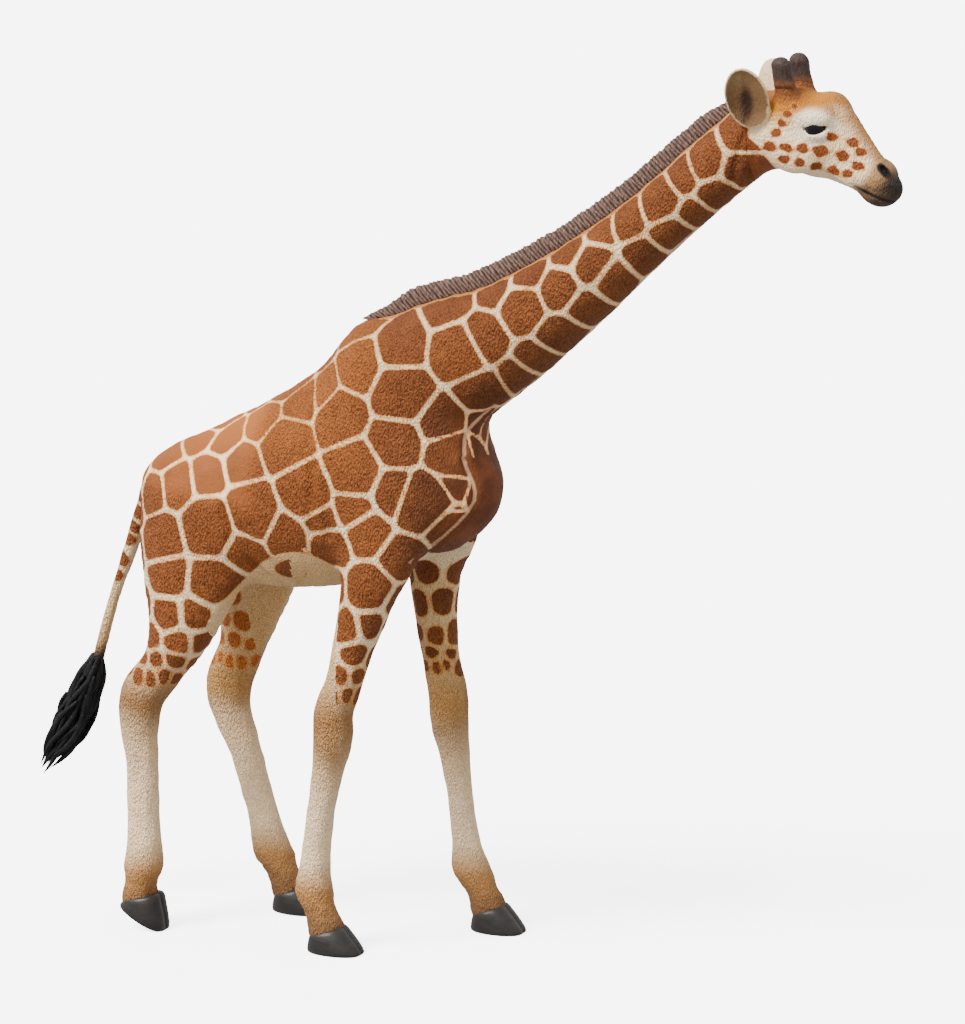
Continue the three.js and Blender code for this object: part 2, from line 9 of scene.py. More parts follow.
import bpy
import numpy as np
import openvdb
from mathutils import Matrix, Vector
from numpy.linalg import norm


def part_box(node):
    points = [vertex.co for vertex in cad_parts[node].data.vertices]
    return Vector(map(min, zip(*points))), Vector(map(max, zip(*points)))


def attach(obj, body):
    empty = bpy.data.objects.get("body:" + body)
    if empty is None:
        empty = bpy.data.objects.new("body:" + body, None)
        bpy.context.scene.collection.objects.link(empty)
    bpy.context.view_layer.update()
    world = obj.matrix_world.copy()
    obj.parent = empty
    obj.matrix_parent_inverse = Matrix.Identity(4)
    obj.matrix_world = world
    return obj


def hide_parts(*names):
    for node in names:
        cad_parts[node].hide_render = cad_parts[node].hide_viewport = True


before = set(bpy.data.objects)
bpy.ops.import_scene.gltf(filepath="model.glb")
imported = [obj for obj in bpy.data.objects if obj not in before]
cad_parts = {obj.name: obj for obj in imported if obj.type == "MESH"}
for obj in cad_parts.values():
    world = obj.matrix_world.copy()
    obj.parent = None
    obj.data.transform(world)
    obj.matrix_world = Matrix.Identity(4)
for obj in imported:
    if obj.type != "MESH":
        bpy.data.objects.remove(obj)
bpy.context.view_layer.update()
MM = 0.001
rng = np.random.default_rng(7)

EYE = np.array([72.9, 4.7, 165.4])
EYE_RADIUS = 2.0
FLOOR_Z = 0.75
_low, _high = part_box("eye_left")
SHIFT = (np.array(_low) + np.array(_high)) / 2 / MM - EYE  # from the body's own frame to the CAD's

# ---- The body, as stations [x, y, z, half depth, half width] ----

BARREL = [[-57, 0, 85, 8.4, 8.6], [-50, 0, 85.2, 13.7, 12.4], [-40, 0, 86.6, 17.3, 14],
          [-29, 0, 89.4, 19.1, 14.4], [-17, 0, 93, 18.6, 13.2], [-6, 0, 93.5, 15, 11.5]]
WITHERS = [[-30, 0, 99, 8.5, 6], [-22, 0, 106, 9.5, 6.5], [-14, 0, 111.5, 11.5, 7.4]]
NECK = [[-11.5, 0, 108.6, 14.2, 10.5], [-2.2, 0, 115.4, 12.8, 9.8], [9, 0, 121.4, 10.4, 8.2],
        [25.8, 0, 133.5, 7.8, 6.6], [41.2, 0, 146.6, 6.3, 5.5], [52.2, 0, 156.4, 6.3, 5.3],
        [60.5, 0, 163.2, 6.4, 5.4]]
BRISKET = [[-4, 0, 96, 9, 8.5], [0.9, 0, 91.2, 7.6, 6.8]]
HEAD = [[62.6, 0, 164.8, 6.2, 5.6], [67.5, 0, 164.2, 7.5, 6], [72.3, 0, 163.2, 7.6, 5.7],
        [76.4, 0, 160.8, 5.9, 4.6], [80.2, 0, 158, 4.4, 3.6], [83.4, 0, 155.7, 3.5, 3.1],
        [85.1, 0, 154.5, 2.7, 2.9]]
TAIL = [[-60.8, 0, 90.6, 3.4, 3.8], [-64.8, 0, 87.6, 2.4, 2.7], [-67.6, 0, 82, 1.7, 1.9],
        [-70.4, 0, 74.5, 1.4, 1.5], [-74.8, 0, 62.5, 1.1, 1.1], [-78.2, 0, 51, 1.1, 1.1]]
TUFT = [[-78.6, 0, 51.5, 1.3, 1.3], [-80.6, 0, 45.8, 3.6, 2.9], [-83.6, 0, 38.8, 4.3, 3.3],
        [-87.2, 0, 32.3, 3.4, 2.8], [-91.4, 0, 26.4, 1.2, 1.1]]
LEGS = {
    "fore_right": [
        [-17, -5.5, 108, 8.5, 3.6], [-12, -7.6, 95, 9, 5], [-11.5, -9.4, 84, 8.4, 5],
        [-14, -10.8, 72.5, 5.6, 4.6], [-16.8, -11.6, 62, 4, 3.9], [-19, -11.9, 54, 3.6, 3.5],
        [-20.9, -12, 48.5, 3.9, 3.6], [-21.1, -12, 43.5, 3.9, 3.7], [-22.2, -12, 37.5, 3.2, 3],
        [-23.7, -12, 29, 2.7, 2.6], [-24.9, -12, 20, 2.8, 2.6], [-25.3, -12, 12.8, 3.3, 3.1],
        [-24.2, -12, 9.2, 3, 3], [-22.8, -12, 5.2, 3.5, 3.5],
    ],
    "fore_left": [
        [-15, 5.5, 108, 8.5, 3.6], [-9.5, 7.6, 95, 9, 5], [-8, 9.6, 84, 8.2, 5],
        [-10.3, 11.6, 72.5, 5.2, 4.4], [-10.4, 12.6, 62, 4.1, 3.9], [-9.6, 13.1, 54, 3.6, 3.5],
        [-8.3, 13.3, 47.5, 3.9, 3.7], [-8.1, 13.4, 42.5, 3.8, 3.6], [-7.2, 13.6, 36, 3, 3],
        [-6, 13.8, 27, 2.5, 2.5], [-4.9, 14, 18.5, 2.8, 2.6], [-3.8, 14, 12.8, 3.3, 3.1],
        [-1.8, 14, 9.2, 3, 3], [0, 14, 5.2, 3.5, 3.5],
    ],
    "hind_right": [
        [-55, -5.5, 91, 9.5, 5.5], [-52, -7.8, 80, 12, 6.4], [-52.6, -9.8, 70, 9.6, 6],
        [-54.2, -10.8, 61.5, 6.6, 5], [-57.8, -11.2, 54, 4.5, 4.1], [-62.4, -11.4, 47.6, 4.5, 3.7],
        [-63.2, -11.5, 42, 4, 3.4], [-62.7, -11.5, 34, 3.2, 2.9], [-62.5, -11.6, 24, 3.2, 2.8],
        [-62.4, -11.8, 15, 3.7, 3.3], [-62.9, -11.9, 10.5, 3.1, 3], [-63.4, -12, 6.6, 3.5, 3.3],
    ],
    "hind_left": [
        [-53, 5.5, 91, 9.5, 5.5], [-48.2, 7.4, 80, 11.6, 6.2], [-47.7, 8.8, 70, 9, 5.8],
        [-49.3, 9.6, 61.5, 6.2, 4.9], [-51.5, 10, 53.5, 4.6, 4.1], [-54.5, 10.3, 46, 4.8, 3.7],
        [-54.2, 10.4, 40.8, 4.2, 3.3], [-51.2, 10.5, 32.7, 3.2, 2.8], [-48.3, 10.5, 23.2, 3, 2.7],
        [-45.4, 10.5, 12.8, 3.5, 3.2], [-43.5, 10.5, 9.2, 3, 3], [-41.9, 10.5, 5.2, 3.4, 3.4],
    ],
}
HOOVES = {  # toe on the floor, pitch, length, height at heel and front, how far back the front lies
    "fore_right": ((-15, -12), 0, 11.4, 3.2, 5.2, 4.2),
    "fore_left": ((7.8, 14), 0, 11.2, 3.2, 5.4, 4.4),
    "hind_right": ((-57.6, -12), -27, 10.8, 1.6, 6.2, 4.6),
    "hind_left": ((-33.8, 10.5), 0, 11.2, 3.2, 5.2, 4.2),
}
SIDES = ((-1, "right"), (1, "left"))

# ---- Fields of distance, in millimetres ----

STEPS = 4
CLEAR = 7.0


def curve(points, count):
    """count + 1 points along a centripetal Catmull-Rom curve."""
    p = np.asarray(points, float)
    ends = np.vstack([2 * p[0] - p[1], p, 2 * p[-1] - p[-2]])
    out = []
    for t in np.linspace(0, len(p) - 1, count + 1):
        i = min(int(t), len(p) - 2)
        w = t - i
        a, b, c, d = ends[i:i + 4]
        k = [max(np.sum((v - u) ** 2) ** 0.25, 1e-4) for u, v in ((a, b), (b, c), (c, d))]
        m = ((b - a) / k[0] - (c - a) / (k[0] + k[1]) + (c - b) / k[1]) * k[1]
        n = ((c - b) / k[1] - (d - b) / (k[1] + k[2]) + (d - c) / k[2]) * k[1]
        out.append(b + w * m + w * w * (3 * (c - b) - 2 * m - n) + w ** 3 * (2 * (b - c) + m + n))
    return np.array(out)


def oval(u, v, w, a, b, c):
    near = np.sqrt((u / a) ** 2 + (v / b) ** 2 + (w / c) ** 2)
    slope = np.sqrt((u / a ** 2) ** 2 + (v / b ** 2) ** 2 + (w / c ** 2) ** 2)
    return near * (near - 1) / np.maximum(slope, 1e-6)


class Limb:
    """The field of a line of stations with an oval section at each."""

    def __init__(self, stations, steps=STEPS):
        s = np.array(stations, float)
        n = (len(s) - 1) * steps
        self.path = curve(s[:, :3], n)
        self.half = curve(s[:, 3:], n)
        self.along = np.diff(self.path, axis=0)
        self.length = norm(self.along, axis=1)
        self.along /= self.length[:, None]
        self.side = np.array([0, 1, 0]) - self.along * self.along[:, 1:2]
        self.side /= norm(self.side, axis=1)[:, None]
        self.deep = np.cross(self.side, self.along)
        reach = self.half.max()
        self.low = self.path.min(0) - reach
        self.high = self.path.max(0) + reach

    def __call__(self, p):
        away = norm(np.maximum(0, np.maximum(self.low - p, p - self.high)), axis=1)
        near = away < CLEAR
        if not near.any():
            return away
        q = p[near]
        best = np.full(len(q), np.inf)
        for k in range(len(self.length)):
            r = q - self.path[k]
            s = r @ self.along[k]
            t = np.clip(s / self.length[k], 0, 1)
            a = self.half[k, 0] + (self.half[k + 1, 0] - self.half[k, 0]) * t
            b = self.half[k, 1] + (self.half[k + 1, 1] - self.half[k, 1]) * t
            best = np.minimum(best, oval(r @ self.deep[k], r @ self.side[k], s - t * self.length[k],
                                         a, b, np.minimum(a, b)))
        away[near] = best
        return away


def turned(x=0.0, y=0.0, z=0.0):
    """A rotation about X, then Y, then Z, in degrees."""
    cx, cy, cz = (cos(radians(v)) for v in (x, y, z))
    sx, sy, sz = (sin(radians(v)) for v in (x, y, z))
    about_x = np.array([[1, 0, 0], [0, cx, -sx], [0, sx, cx]])
    about_y = np.array([[cy, 0, sy], [0, 1, 0], [-sy, 0, cy]])
    about_z = np.array([[cz, -sz, 0], [sz, cz, 0], [0, 0, 1]])
    return about_z @ about_y @ about_x


def egg(centre, half, tilt=0.0, turn=None):
    """An ellipsoid's field. Its first half size lies along an axis tilted up from +X."""
    lay = turned(y=-tilt) if turn is None else turn
    centre = np.array(centre, float)
    return lambda p: oval(*((p - centre) @ lay).T, *half)


def blend(reach, *values):
    out = values[0]
    for v in values[1:]:
        h = np.maximum(reach - np.abs(out - v), 0) / reach
        out = np.minimum(out, v) - h * h * reach / 4
    return out


def carve(reach, body, tool):
    h = np.maximum(reach - np.abs(body + tool), 0) / reach
    return np.maximum(body, -tool) + h * h * reach / 4


limbs = {name: Limb(s) for name, s in LEGS.items()}
barrel, withers, neck, brisket = Limb(BARREL), Limb(WITHERS), Limb(NECK), Limb(BRISKET)
head, tail = Limb(HEAD), Limb(TAIL)
horn_cores = [
    Limb([[67.6 + 0.3 * s, s * 3.5, 168, 2.6, 2.5], [67 + 0.3 * s, s * 3.7, 171.5, 2, 1.9],
          [66.4 + 0.3 * s, s * 3.8, 174.5, 1.75, 1.75], [66.1 + 0.3 * s, s * 3.8, 176, 1.8, 1.8]])
    for s in (-1, 1)
]
lumps = [egg([74.6, 0, 168.4], [2.8, 2.7, 3], -20), egg([85.2, 0, 153.9], [1.6, 2.6, 1.9], -60),
         egg([83.2, 0, 152.9], [2.4, 2.1, 1.5], -14)]
for s, _ in SIDES:
    lumps += [egg([71.8, s * 4, 166.9], [4, 1.9, 2.2], -12), egg([68.5, s * 4.2, 160.4], [4.6, 1.7, 3.6], -8),
              egg([83.9, s * 1.9, 156.2], [1.8, 1.3, 1.5], -35)]

# Forms finer than the CAD's: each is an egg added to the body, or taken from it.
ADDED = []
TAKEN = []
EYE_SLIT = []
for s, _ in SIDES:
    ADDED += [
        (0.9, egg([72.8, s * 4.75, 167.1], [3.2, 2.0, 2.0], 6)),  # upper eyelid
        (0.7, egg([73.2, s * 4.7, 164.1], [2.6, 1.7, 1.25], 4)),  # lower eyelid
        (0.7, egg([85.0, s * 1.75, 157.9], [1.9, 0.75, 1.0], -47)),  # the nostril's rim
        (1.2, egg([78.2, s * 2.9, 157.3], [4.2, 1.2, 1.9], -34)),  # the cheek before the mouth
    ]
    TAKEN += [
        (0.3, egg([85.3, s * 2.45, 158.0], [1.25, 0.75, 0.42], -47)),  # nostril
        (0.6, egg([77.4, s * 4.9, 164.6], [1.2, 0.6, 1.6], 20)),  # the hollow before the eye
    ]
    EYE_SLIT += [egg([73.4, s * 6.7, 165.6], [2.75, 2.4, 1.15], 7)]

EARS = []
for s, _ in SIDES:
    lay = turned(x=s * -8, y=-18, z=s * -15)
    at = np.array([60.6, s * 7.4, 170.4])
    EARS.append((egg(at, (3.9, 1.9, 5.8), turn=lay),
                 egg(at + lay @ np.array([0, s * 0.9, 0.1]), (3.55, 1.75, 5.4), turn=lay)))


def flesh(p):
    trunk = blend(6, barrel(p), withers(p), neck(p), brisket(p))
    body = blend(4.5, trunk, blend(1.2, *(limb(p) for limb in limbs.values())))
    body = blend(2.5, body, tail(p))
    up = p[:, 0] > 40
    if not up.any():
        return body
    q = p[up]
    skull = blend(2, head(q), *(lump(q) for lump in lumps), *(horn(q) for horn in horn_cores))
    out = blend(3.2, body[up], skull)
    for reach, form in ADDED:
        out = blend(reach, out, form(q))
    for reach, form in TAKEN:
        out = carve(reach, out, form(q))
    lid = q[:, 2] - 165.75 - 0.12 * (q[:, 0] - 73.4)
    for slit in EYE_SLIT:
        out = carve(0.25, out, np.maximum(slit(q), lid))
    for outer, hollow in EARS:
        out = blend(0.9, out, carve(0.4, outer(q), hollow(q)))
    tips = (q[:, 2] > 170) & (q[:, 0] > 64.2)
    out[tips] = np.maximum(out[tips], q[tips, 2] - 173.4)
    body[up] = out
    return body


def slope(field, p, probe=0.05):
    out = np.empty_like(p)
    for axis in range(3):
        step = np.zeros(3)
        step[axis] = probe
        out[:, axis] = (field(p + step) - field(p - step)) / (2 * probe)
    return out


def settle(field, p, passes=3):
    """Moves points that are near a field's surface onto it."""
    for _ in range(passes):
        g = slope(field, p)
        size = np.maximum((g * g).sum(1), 0.2)
        p = p - g * np.clip(field(p), -0.6, 0.6)[:, None] / size[:, None]
    return p


def skin_of(field, low, high, voxel):
    """A field's surface as points and quads, from a grid filled only near the surface."""
    low = np.array(low, float)
    cells = 6
    n = np.ceil((np.array(high) - low) / (voxel * cells)).astype(int)
    at = np.stack(np.meshgrid(*(np.arange(k) for k in n), indexing="ij"), -1).reshape(-1, 3)
    coarse = field(low + (at + 0.5) * voxel * cells)
    grid = np.repeat(np.repeat(np.repeat(coarse.reshape(n), cells, 0), cells, 1), cells, 2).astype(np.float32)
    near = at[np.abs(coarse) < voxel * cells * 1.05 + 1.2]
    inner = np.stack(np.meshgrid(*(np.arange(cells),) * 3, indexing="ij"), -1).reshape(-1, 3)
    for part in np.array_split(near, max(1, len(near) // 800)):
        fine = (part[:, None, :] * cells + inner[None]).reshape(-1, 3)
        grid[tuple(fine.T)] = field(low + (fine + 0.5) * voxel)
    vdb = openvdb.FloatGrid(background=3.0)
    vdb.copyFromArray(np.clip(grid, -3, 3))
    points, quads = vdb.convertToQuads()
    return low + (points + 0.5) * voxel, quads.astype(np.int64)


def split(points, tris, chosen):
    """Halves the edges of the chosen triangles, and closes up their neighbours."""
    edges = np.sort(tris[:, [[0, 1], [1, 2], [2, 0]]].reshape(-1, 2), axis=1)
    keys, back = np.unique(edges, axis=0, return_inverse=True)
    back = back.reshape(-1, 3)
    cut = np.zeros(len(keys), bool)
    cut[back[chosen].ravel()] = True
    fresh = np.full(len(keys), -1)
    fresh[cut] = len(points) + np.arange(cut.sum())
    points = np.vstack([points, points[keys[cut]].mean(1)])
    m = fresh[back]
    count = (m >= 0).sum(1)
    out = [tris[count == 0]]
    f, g = tris[count == 3], m[count == 3]
    out += [np.stack([f[:, 0], g[:, 0], g[:, 2]], 1), np.stack([g[:, 0], f[:, 1], g[:, 1]], 1),
            np.stack([g[:, 2], g[:, 1], f[:, 2]], 1), g]
    for k in range(3):
        a, b, c = k, (k + 1) % 3, (k + 2) % 3
        one = (count == 1) & (m[:, a] >= 0)
        f, g = tris[one], m[one]
        out += [np.stack([f[:, a], g[:, a], f[:, c]], 1), np.stack([g[:, a], f[:, b], f[:, c]], 1)]
        two = (count == 2) & (m[:, a] < 0)
        f, g = tris[two], m[two]
        out += [np.stack([g[:, b], f[:, c], g[:, c]], 1), np.stack([f[:, a], f[:, b], g[:, b]], 1),
                np.stack([f[:, a], g[:, b], g[:, c]], 1)]
    return points, np.vstack(out)


def lattice(cell, seed):
    h = (cell[..., 0] * 73856093) ^ (cell[..., 1] * 19349663) ^ (cell[..., 2] * 83492791) ^ (seed * 2654435)
    h = (h ^ (h >> 13)) * 1274126177 & 0x7FFFFFFF
    return ((h ^ (h >> 16)) & 0xFFFF) / 65535.0


def noise(p, size, seed=0):
    """Smooth noise from -1 to 1, with bumps about size mm across (one size, or one for each axis)."""
    q = p / size
    base = np.floor(q).astype(np.int64)
    f = q - base
    f = f * f * (3 - 2 * f)
    out = 0
    for i in (0, 1):
        for j in (0, 1):
            for k in (0, 1):
                w = np.where(i, f[:, 0], 1 - f[:, 0]) * np.where(j, f[:, 1], 1 - f[:, 1])
                out = out + w * np.where(k, f[:, 2], 1 - f[:, 2]) * lattice(base + np.array([i, j, k]), seed)
    return 2 * out - 1


def ramp(v, a, b):
    t = np.clip((v - a) / (b - a), 0, 1)
    return t * t * (3 - 2 * t)


# ---- The skin's shape ----

# at 0.62 the skin stays under 200,000 triangles
VOXEL = 0.62  # the skin's grid spacing in mm; it sets how many triangles the skin has
SKIN_LOW, SKIN_HIGH = [-84, -21, -2], [91, 22, 181]  # a box round all of the flesh
points, quads = skin_of(flesh, SKIN_LOW, SKIN_HIGH, VOXEL)
tris = np.vstack([quads[:, [0, 1, 2]], quads[:, [0, 2, 3]]])
points = settle(flesh, points, 2)
corner = points[tris]
if (corner[:, 0] * np.cross(corner[:, 1], corner[:, 2])).sum() < 0:  # a negative volume: inside out
    tris = tris[:, ::-1]
middles = points[tris].mean(1)
points, tris = split(points, tris, (middles[:, 0] > 56) & (middles[:, 2] > 148))
points = settle(flesh, points, 2)

# The creases: the few points (x, z) that each one bends through in side view, its width, how deep it is,
# and whether it is pale.
CREASES = [
    ([(4, 99), (6, 91), (-5, 79)], 0.4, 0.35, 1),  # the brisket's edge
    ([(9, 109), (4, 104), (4, 99)], 0.4, 0.25, 1),  # the base of the throat
    ([(-24.5, 96), (-24.5, 83)], 0.8, 0.35, 0),  # behind the elbow
    ([(-21, 96), (-21, 83)], 0.8, 0.3, 0),
    ([(-43, 87), (-41, 79), (-35, 71)], 0.9, 0.5, 0),  # before the thigh
    ([(59, 163), (56.5, 154)], 0.6, 0.35, 0),  # below the jaw
    ([(61.5, 160), (58.5, 153)], 0.5, 0.3, 0),
    ([(80.4, 154.8), (83.2, 153.4), (87.5, 152)], 0.28, 0.6, 0),  # the mouth
]
BENDS = 10


def near_line(p, line):
    """The distance in side view from each point to the smooth line through a crease's points."""
    q = p[:, [0, 2]]
    line = curve(line, BENDS)
    best = np.full(len(p), np.inf)
    for a, b in zip(line[:-1], line[1:]):
        a, b = np.array(a, float), np.array(b, float)
        t = np.clip((q - a) @ (b - a) / ((b - a) @ (b - a)), 0, 1)
        best = np.minimum(best, norm(q - a - t[:, None] * (b - a), axis=1))
    return best


normals = slope(flesh, points)
normals /= norm(normals, axis=1)[:, None]
x, y, z = points.T
facing = np.abs(normals[:, 1])
push = np.zeros(len(points))
pale_line = np.full(len(points), 9.0)
for bends, width, depth, is_pale in CREASES:
    d = near_line(points, bends)
    side_on = ramp(facing, 0.1, 0.35)
    push += side_on * depth * (0.45 * np.exp(-((d - 1.9 * width) / width) ** 2) - np.exp(-(d / width) ** 2))
    if is_pale:
        pale_line = np.minimum(pale_line, d + 2 * (1 - side_on))

# Muscles and bones under the skin.
FORMS = [  # centre, half sizes, how far it swells
    ((-17, 0, 98), (7, 40, 14), 0.5),
    ((-52, 0, 82), (8, 40, 9), 0.35),
    ((-22, 0, 43), (2.2, 40, 1.6), 0.22),
    ((-8, 0, 42), (2.2, 40, 1.6), 0.2),
    ((-64.5, 0, 47.5), (2.5, 40, 2), 0.25),
]
for centre, half, swell in FORMS:
    d = (((points - centre) / half) ** 2).sum(1)
    push += swell * np.exp(-2 * d)
push += 0.4 * np.exp(-((z - 12.5) / 2.4) ** 2)
push += 0.16 * ramp(z, 17, 13) * noise(points, np.array([2.4, 2.4, 0.9]), 17)  # rings above the hooves
legs_low = ramp(z, 48, 40) * (1 - ramp(np.abs(x), 66, 69))
push += 0.10 * legs_low * noise(points, np.array([0.9, 0.9, 2.6]), 3)  # wrinkles along the shins
push += 0.13 * noise(points, np.array([1.6, 1.6, 3.0]), 1) * (1 - ramp(z, 100, 118) * ramp(x, -34, -40))
push[(x > 60)] *= 0.35
points = points + normals * push[:, None]

# ---- Its markings ----

# Rows of patches on the flank in side view: from (x, z) to (x, z), how far the row bows up in the middle,
# how many patches, and the half size of the first and of the last.
ROWS = [
    ((9, 131.5), (58, 164), -2, 9, 3.5, 2.6),  # along the neck's crest
    ((8, 124), (30, 137.5), 0, 4, 3.8, 3.2),  # along its middle, as far as it is wide
    ((14, 115), (59, 156), 0, 10, 3.0, 2.8),  # along the throat
    ((-58, 96), (1, 127), -4, 9, 3.3, 3.8),  # along the back
    ((-60, 88), (4, 120), -3, 8, 2.8, 5.2),
    ((-56, 80), (8, 111), -3, 8, 4.8, 4.2),  # along the flank
    ((-39, 79), (3, 99), -1, 6, 3.2, 3.8),
    ((-21, 81), (-3, 91), 0, 3, 3.0, 5.2),  # the shoulder
    ((-5, 80), (7, 92), 0, 3, 3.2, 4.0),  # the breast
    ((1, 88), (6, 106), 0, 4, 2.7, 2.2),  # the base of the throat
    ((-54, 72), (-45, 72), 0, 2, 4.4, 3.8),  # the thigh
]
# The same for the face's spots.
FACE_ROWS = [
    ((64.5, 161.8), (78, 160.5), 0.4, 5, 0.7, 0.9),
    ((67.2, 159.3), (79, 157.2), 0.2, 5, 0.8, 0.7),
    ((81, 161.2), (80.8, 158.8), 0, 2, 0.6, 0.6),
    ((76, 164), (79.8, 163), 0, 2, 0.8, 0.7),
    ((65.7, 164.2), (69, 169.2), 0, 4, 0.75, 0.35),
]
LEG_TOP = {"fore": 73.0, "hind": 65.5}  # the height of the highest ring of spots round each leg
LEG_END = 51.5  # and of the lowest, just above the knee or the hock
LEG_GROWTH = {"fore": 0.105, "hind": 0.135}  # how fast the spots grow upwards
TAIL_TOP, TAIL_STEP, TAIL_COUNT = 88.0, 3.1, 7
TAIL_SPOT, TAIL_SHRINK = 1.6, 0.88  # the highest spot's half size, and the next one's share of it
STRAY, FACE_STRAY = 0.22, 0.25  # how far out of line and size, as a share of a patch's half size
OUTSIDE = 22  # further from the middle plane than any skin
BELLY_PEAK, BELLY_BACK, BELLY_FRONT = (-28, 79.3), -47, -19  # the pale belly's highest point and its ends
BELLY_BEND = {"back": 0.042, "front": 0.075}  # how fast its edge falls to each side of that point
BELLY_SPOT, BELLY_SPOT_SIZE = (-31, 75), 2.9
FACE_X = 60  # the face is in front of this
COAT_END = 44  # no patches below this height


def row(start, end, bow, count, first, last, stray):
    """A row's patches as (x, z, half size), spaced as they are wide and a little out of line."""
    size = np.linspace(first, last, count) * rng.uniform(1 - stray, 1 + stray, count)
    t = np.concatenate([[0], np.cumsum(size[:-1] + size[1:])])
    t /= t[-1]
    middle = np.outer(1 - t, start) + np.outer(t, end)
    middle[:, 1] += 4 * bow * t * (1 - t)
    middle += rng.uniform(-stray, stray, (count, 2)) * size[:, None]
    return np.column_stack([middle, size])


LAND_STEPS = 88


def land(starts, ends):
    """The skin's point on the way from each start to its end."""
    share = np.linspace(0, 1, LAND_STEPS + 1)[:, None]
    out = []
    for start, end in zip(np.asarray(starts, float), np.asarray(ends, float)):
        walk = start + share * (end - start)
        inside = flesh(walk) < 0
        out.append(walk[np.argmax(inside)] if inside.any() else walk[-1])
    return np.array(out)


def across(xz, side):
    """The skin's point on a side at each (x, z)."""
    return land([(x, OUTSIDE * side, z) for x, z in xz], [(x, 0, z) for x, z in xz])


INWARD = {"fore_right": 1, "fore_left": -1, "hind_right": 1, "hind_left": -1}


def ring_spots(name, limb):
    """Rings of spots down a leg as (place, half size), smaller towards the knee and on the inner face."""
    out = []
    height = LEG_TOP[name[:4]]
    turn = 0.0
    while height > LEG_END:
        size = 1.2 + LEG_GROWTH[name[:4]] * (height - LEG_END)
        k = np.argmin(np.abs(limb.path[:, 2] - height))
        half = limb.half[k]
        count = max(4, round(2 * pi * sqrt((half ** 2).mean()) / (2.15 * size)))
        for j in range(count):
            a = 2 * pi * (j + turn + rng.uniform(-0.24, 0.24)) / count
            rise = rng.uniform(-0.45, 0.45) * size
            place = limb.path[k] + [half[0] * cos(a), half[1] * sin(a), rise]
            inner = sin(a) * INWARD[name] > 0.3
            out.append((place, size * rng.uniform(0.75, 1.2) * (0.6 if inner else 1.0)))
        height -= 1.95 * size
        turn += 0.5
    return out


plan = np.vstack([row(*rule, STRAY) for rule in ROWS])
near_seeds = across(plan[:, :2], -1)
MIDDLE_BAND = 2.5  # a patch nearer the middle plane than this serves both sides
FAR_STRAY = 1.3
upper = np.abs(near_seeds[:, 1]) > MIDDLE_BAND
far_seeds = across(plan[upper, :2] + rng.uniform(-FAR_STRAY, FAR_STRAY, (upper.sum(), 2)), 1)
BACK_COUNT, BACK_SIZE = 6, 3.6  # the patches over the spine, by turns to its right and left
back_x = np.linspace(-56, -19, BACK_COUNT) + rng.uniform(-1, 1, BACK_COUNT)
back_y = 1.6 * (-1.0) ** np.arange(BACK_COUNT)
over, under = (np.column_stack([back_x, back_y, np.full(BACK_COUNT, height)]) for height in (135, 80))
back_seeds = land(over, under)
REAR_COUNT, REAR_SIZE = 4, 3.4  # the patches down the back of each thigh
rear_at = [(s * (4 + 1.5 * k), 91 - 8 * k) for s in (-1, 1) for k in range(REAR_COUNT)]
rear_seeds = land([(-80, y, z) for y, z in rear_at], [(-40, y, z) for y, z in rear_at])
spots = [(place, BACK_SIZE) for place in back_seeds] + [(place, REAR_SIZE) for place in rear_seeds]
covered = len(spots)
spots += [spot for name, limb in limbs.items() for spot in ring_spots(name, limb)]
for k in range(TAIL_COUNT):
    root = tail.path[np.argmin(np.abs(tail.path[:, 2] - (TAIL_TOP - TAIL_STEP * k)))]
    spots += [(root + [-0.8, side * 1.1, 0], TAIL_SPOT * TAIL_SHRINK ** k) for side in (-1, 1)]
seeds = np.vstack([near_seeds, far_seeds, [place for place, _ in spots]])
radii = np.concatenate([plan[:, 2], plan[upper, 2], [size for _, size in spots]])
planned = len(plan) + upper.sum() + covered
reach_of = np.where(np.arange(len(seeds)) < planned, 2.0, 1.4)
tones = rng.uniform(-1, 1, len(seeds))


def patch_edges(p):
    """How far inside its patch each point is, in millimetres, with the patch it is in."""
    edge = np.empty(len(p))
    owner = np.empty(len(p), int)
    gap = norm(seeds[:, None] - seeds[None], axis=2) + np.eye(len(seeds))
    for part in np.array_split(np.arange(len(p)), max(1, len(p) // 4000)):
        q = p[part]
        d2 = ((q[:, None] - seeds[None]) ** 2).sum(2)
        power = d2 - radii[None] ** 2
        own = power.argmin(1)
        mine = np.arange(len(q)), own
        far = (power - power[mine][:, None]) / (2 * gap[own])
        far[mine] = 99
        reach = reach_of[own] * radii[own] + 0.2 - np.sqrt(d2[mine])
        k = 0.3
        soft = -k * np.log(np.exp(-far / k).sum(1) + np.exp(-(reach + 0.6) / k) + 1e-12)
        edge[part] = soft
        owner[part] = own
    return edge, owner


edge, owner = patch_edges(points)
x, y, z = points.T
nx, ny, nz = normals.T
on_back = ramp(z, 92, 104) * ramp(x, -8, -26)
on_breast = ramp(x, -2, 3) * ramp(z, 112, 106) * ramp(z, 78, 84)
line = 0.53 + 0.12 * noise(points, 6.0, 5) - 0.18 * on_back - 0.2 * on_breast
line += 0.15 * ramp(z, 78, 66) * ramp(x, 10, 5)
line *= np.clip(0.3 + radii[owner] / 4.5, 0.5, 1)
edge = edge - line
fall = np.where(x < BELLY_PEAK[0], BELLY_BEND["back"], BELLY_BEND["front"])
belly_top = BELLY_PEAK[1] - fall * (x - BELLY_PEAK[0]) ** 2
by_belly = (x > BELLY_BACK) & (x < BELLY_FRONT)
belly = ramp(z - belly_top, 0.5, -0.5) * by_belly
edge = np.where(by_belly, np.minimum(edge, z - belly_top), edge)
spot_at = across([BELLY_SPOT], -1)[0]
ragged_size = BELLY_SPOT_SIZE * (1 + 0.2 * noise(points, 1.6, 21))
belly_spot = ragged_size - norm(points - spot_at, axis=1)
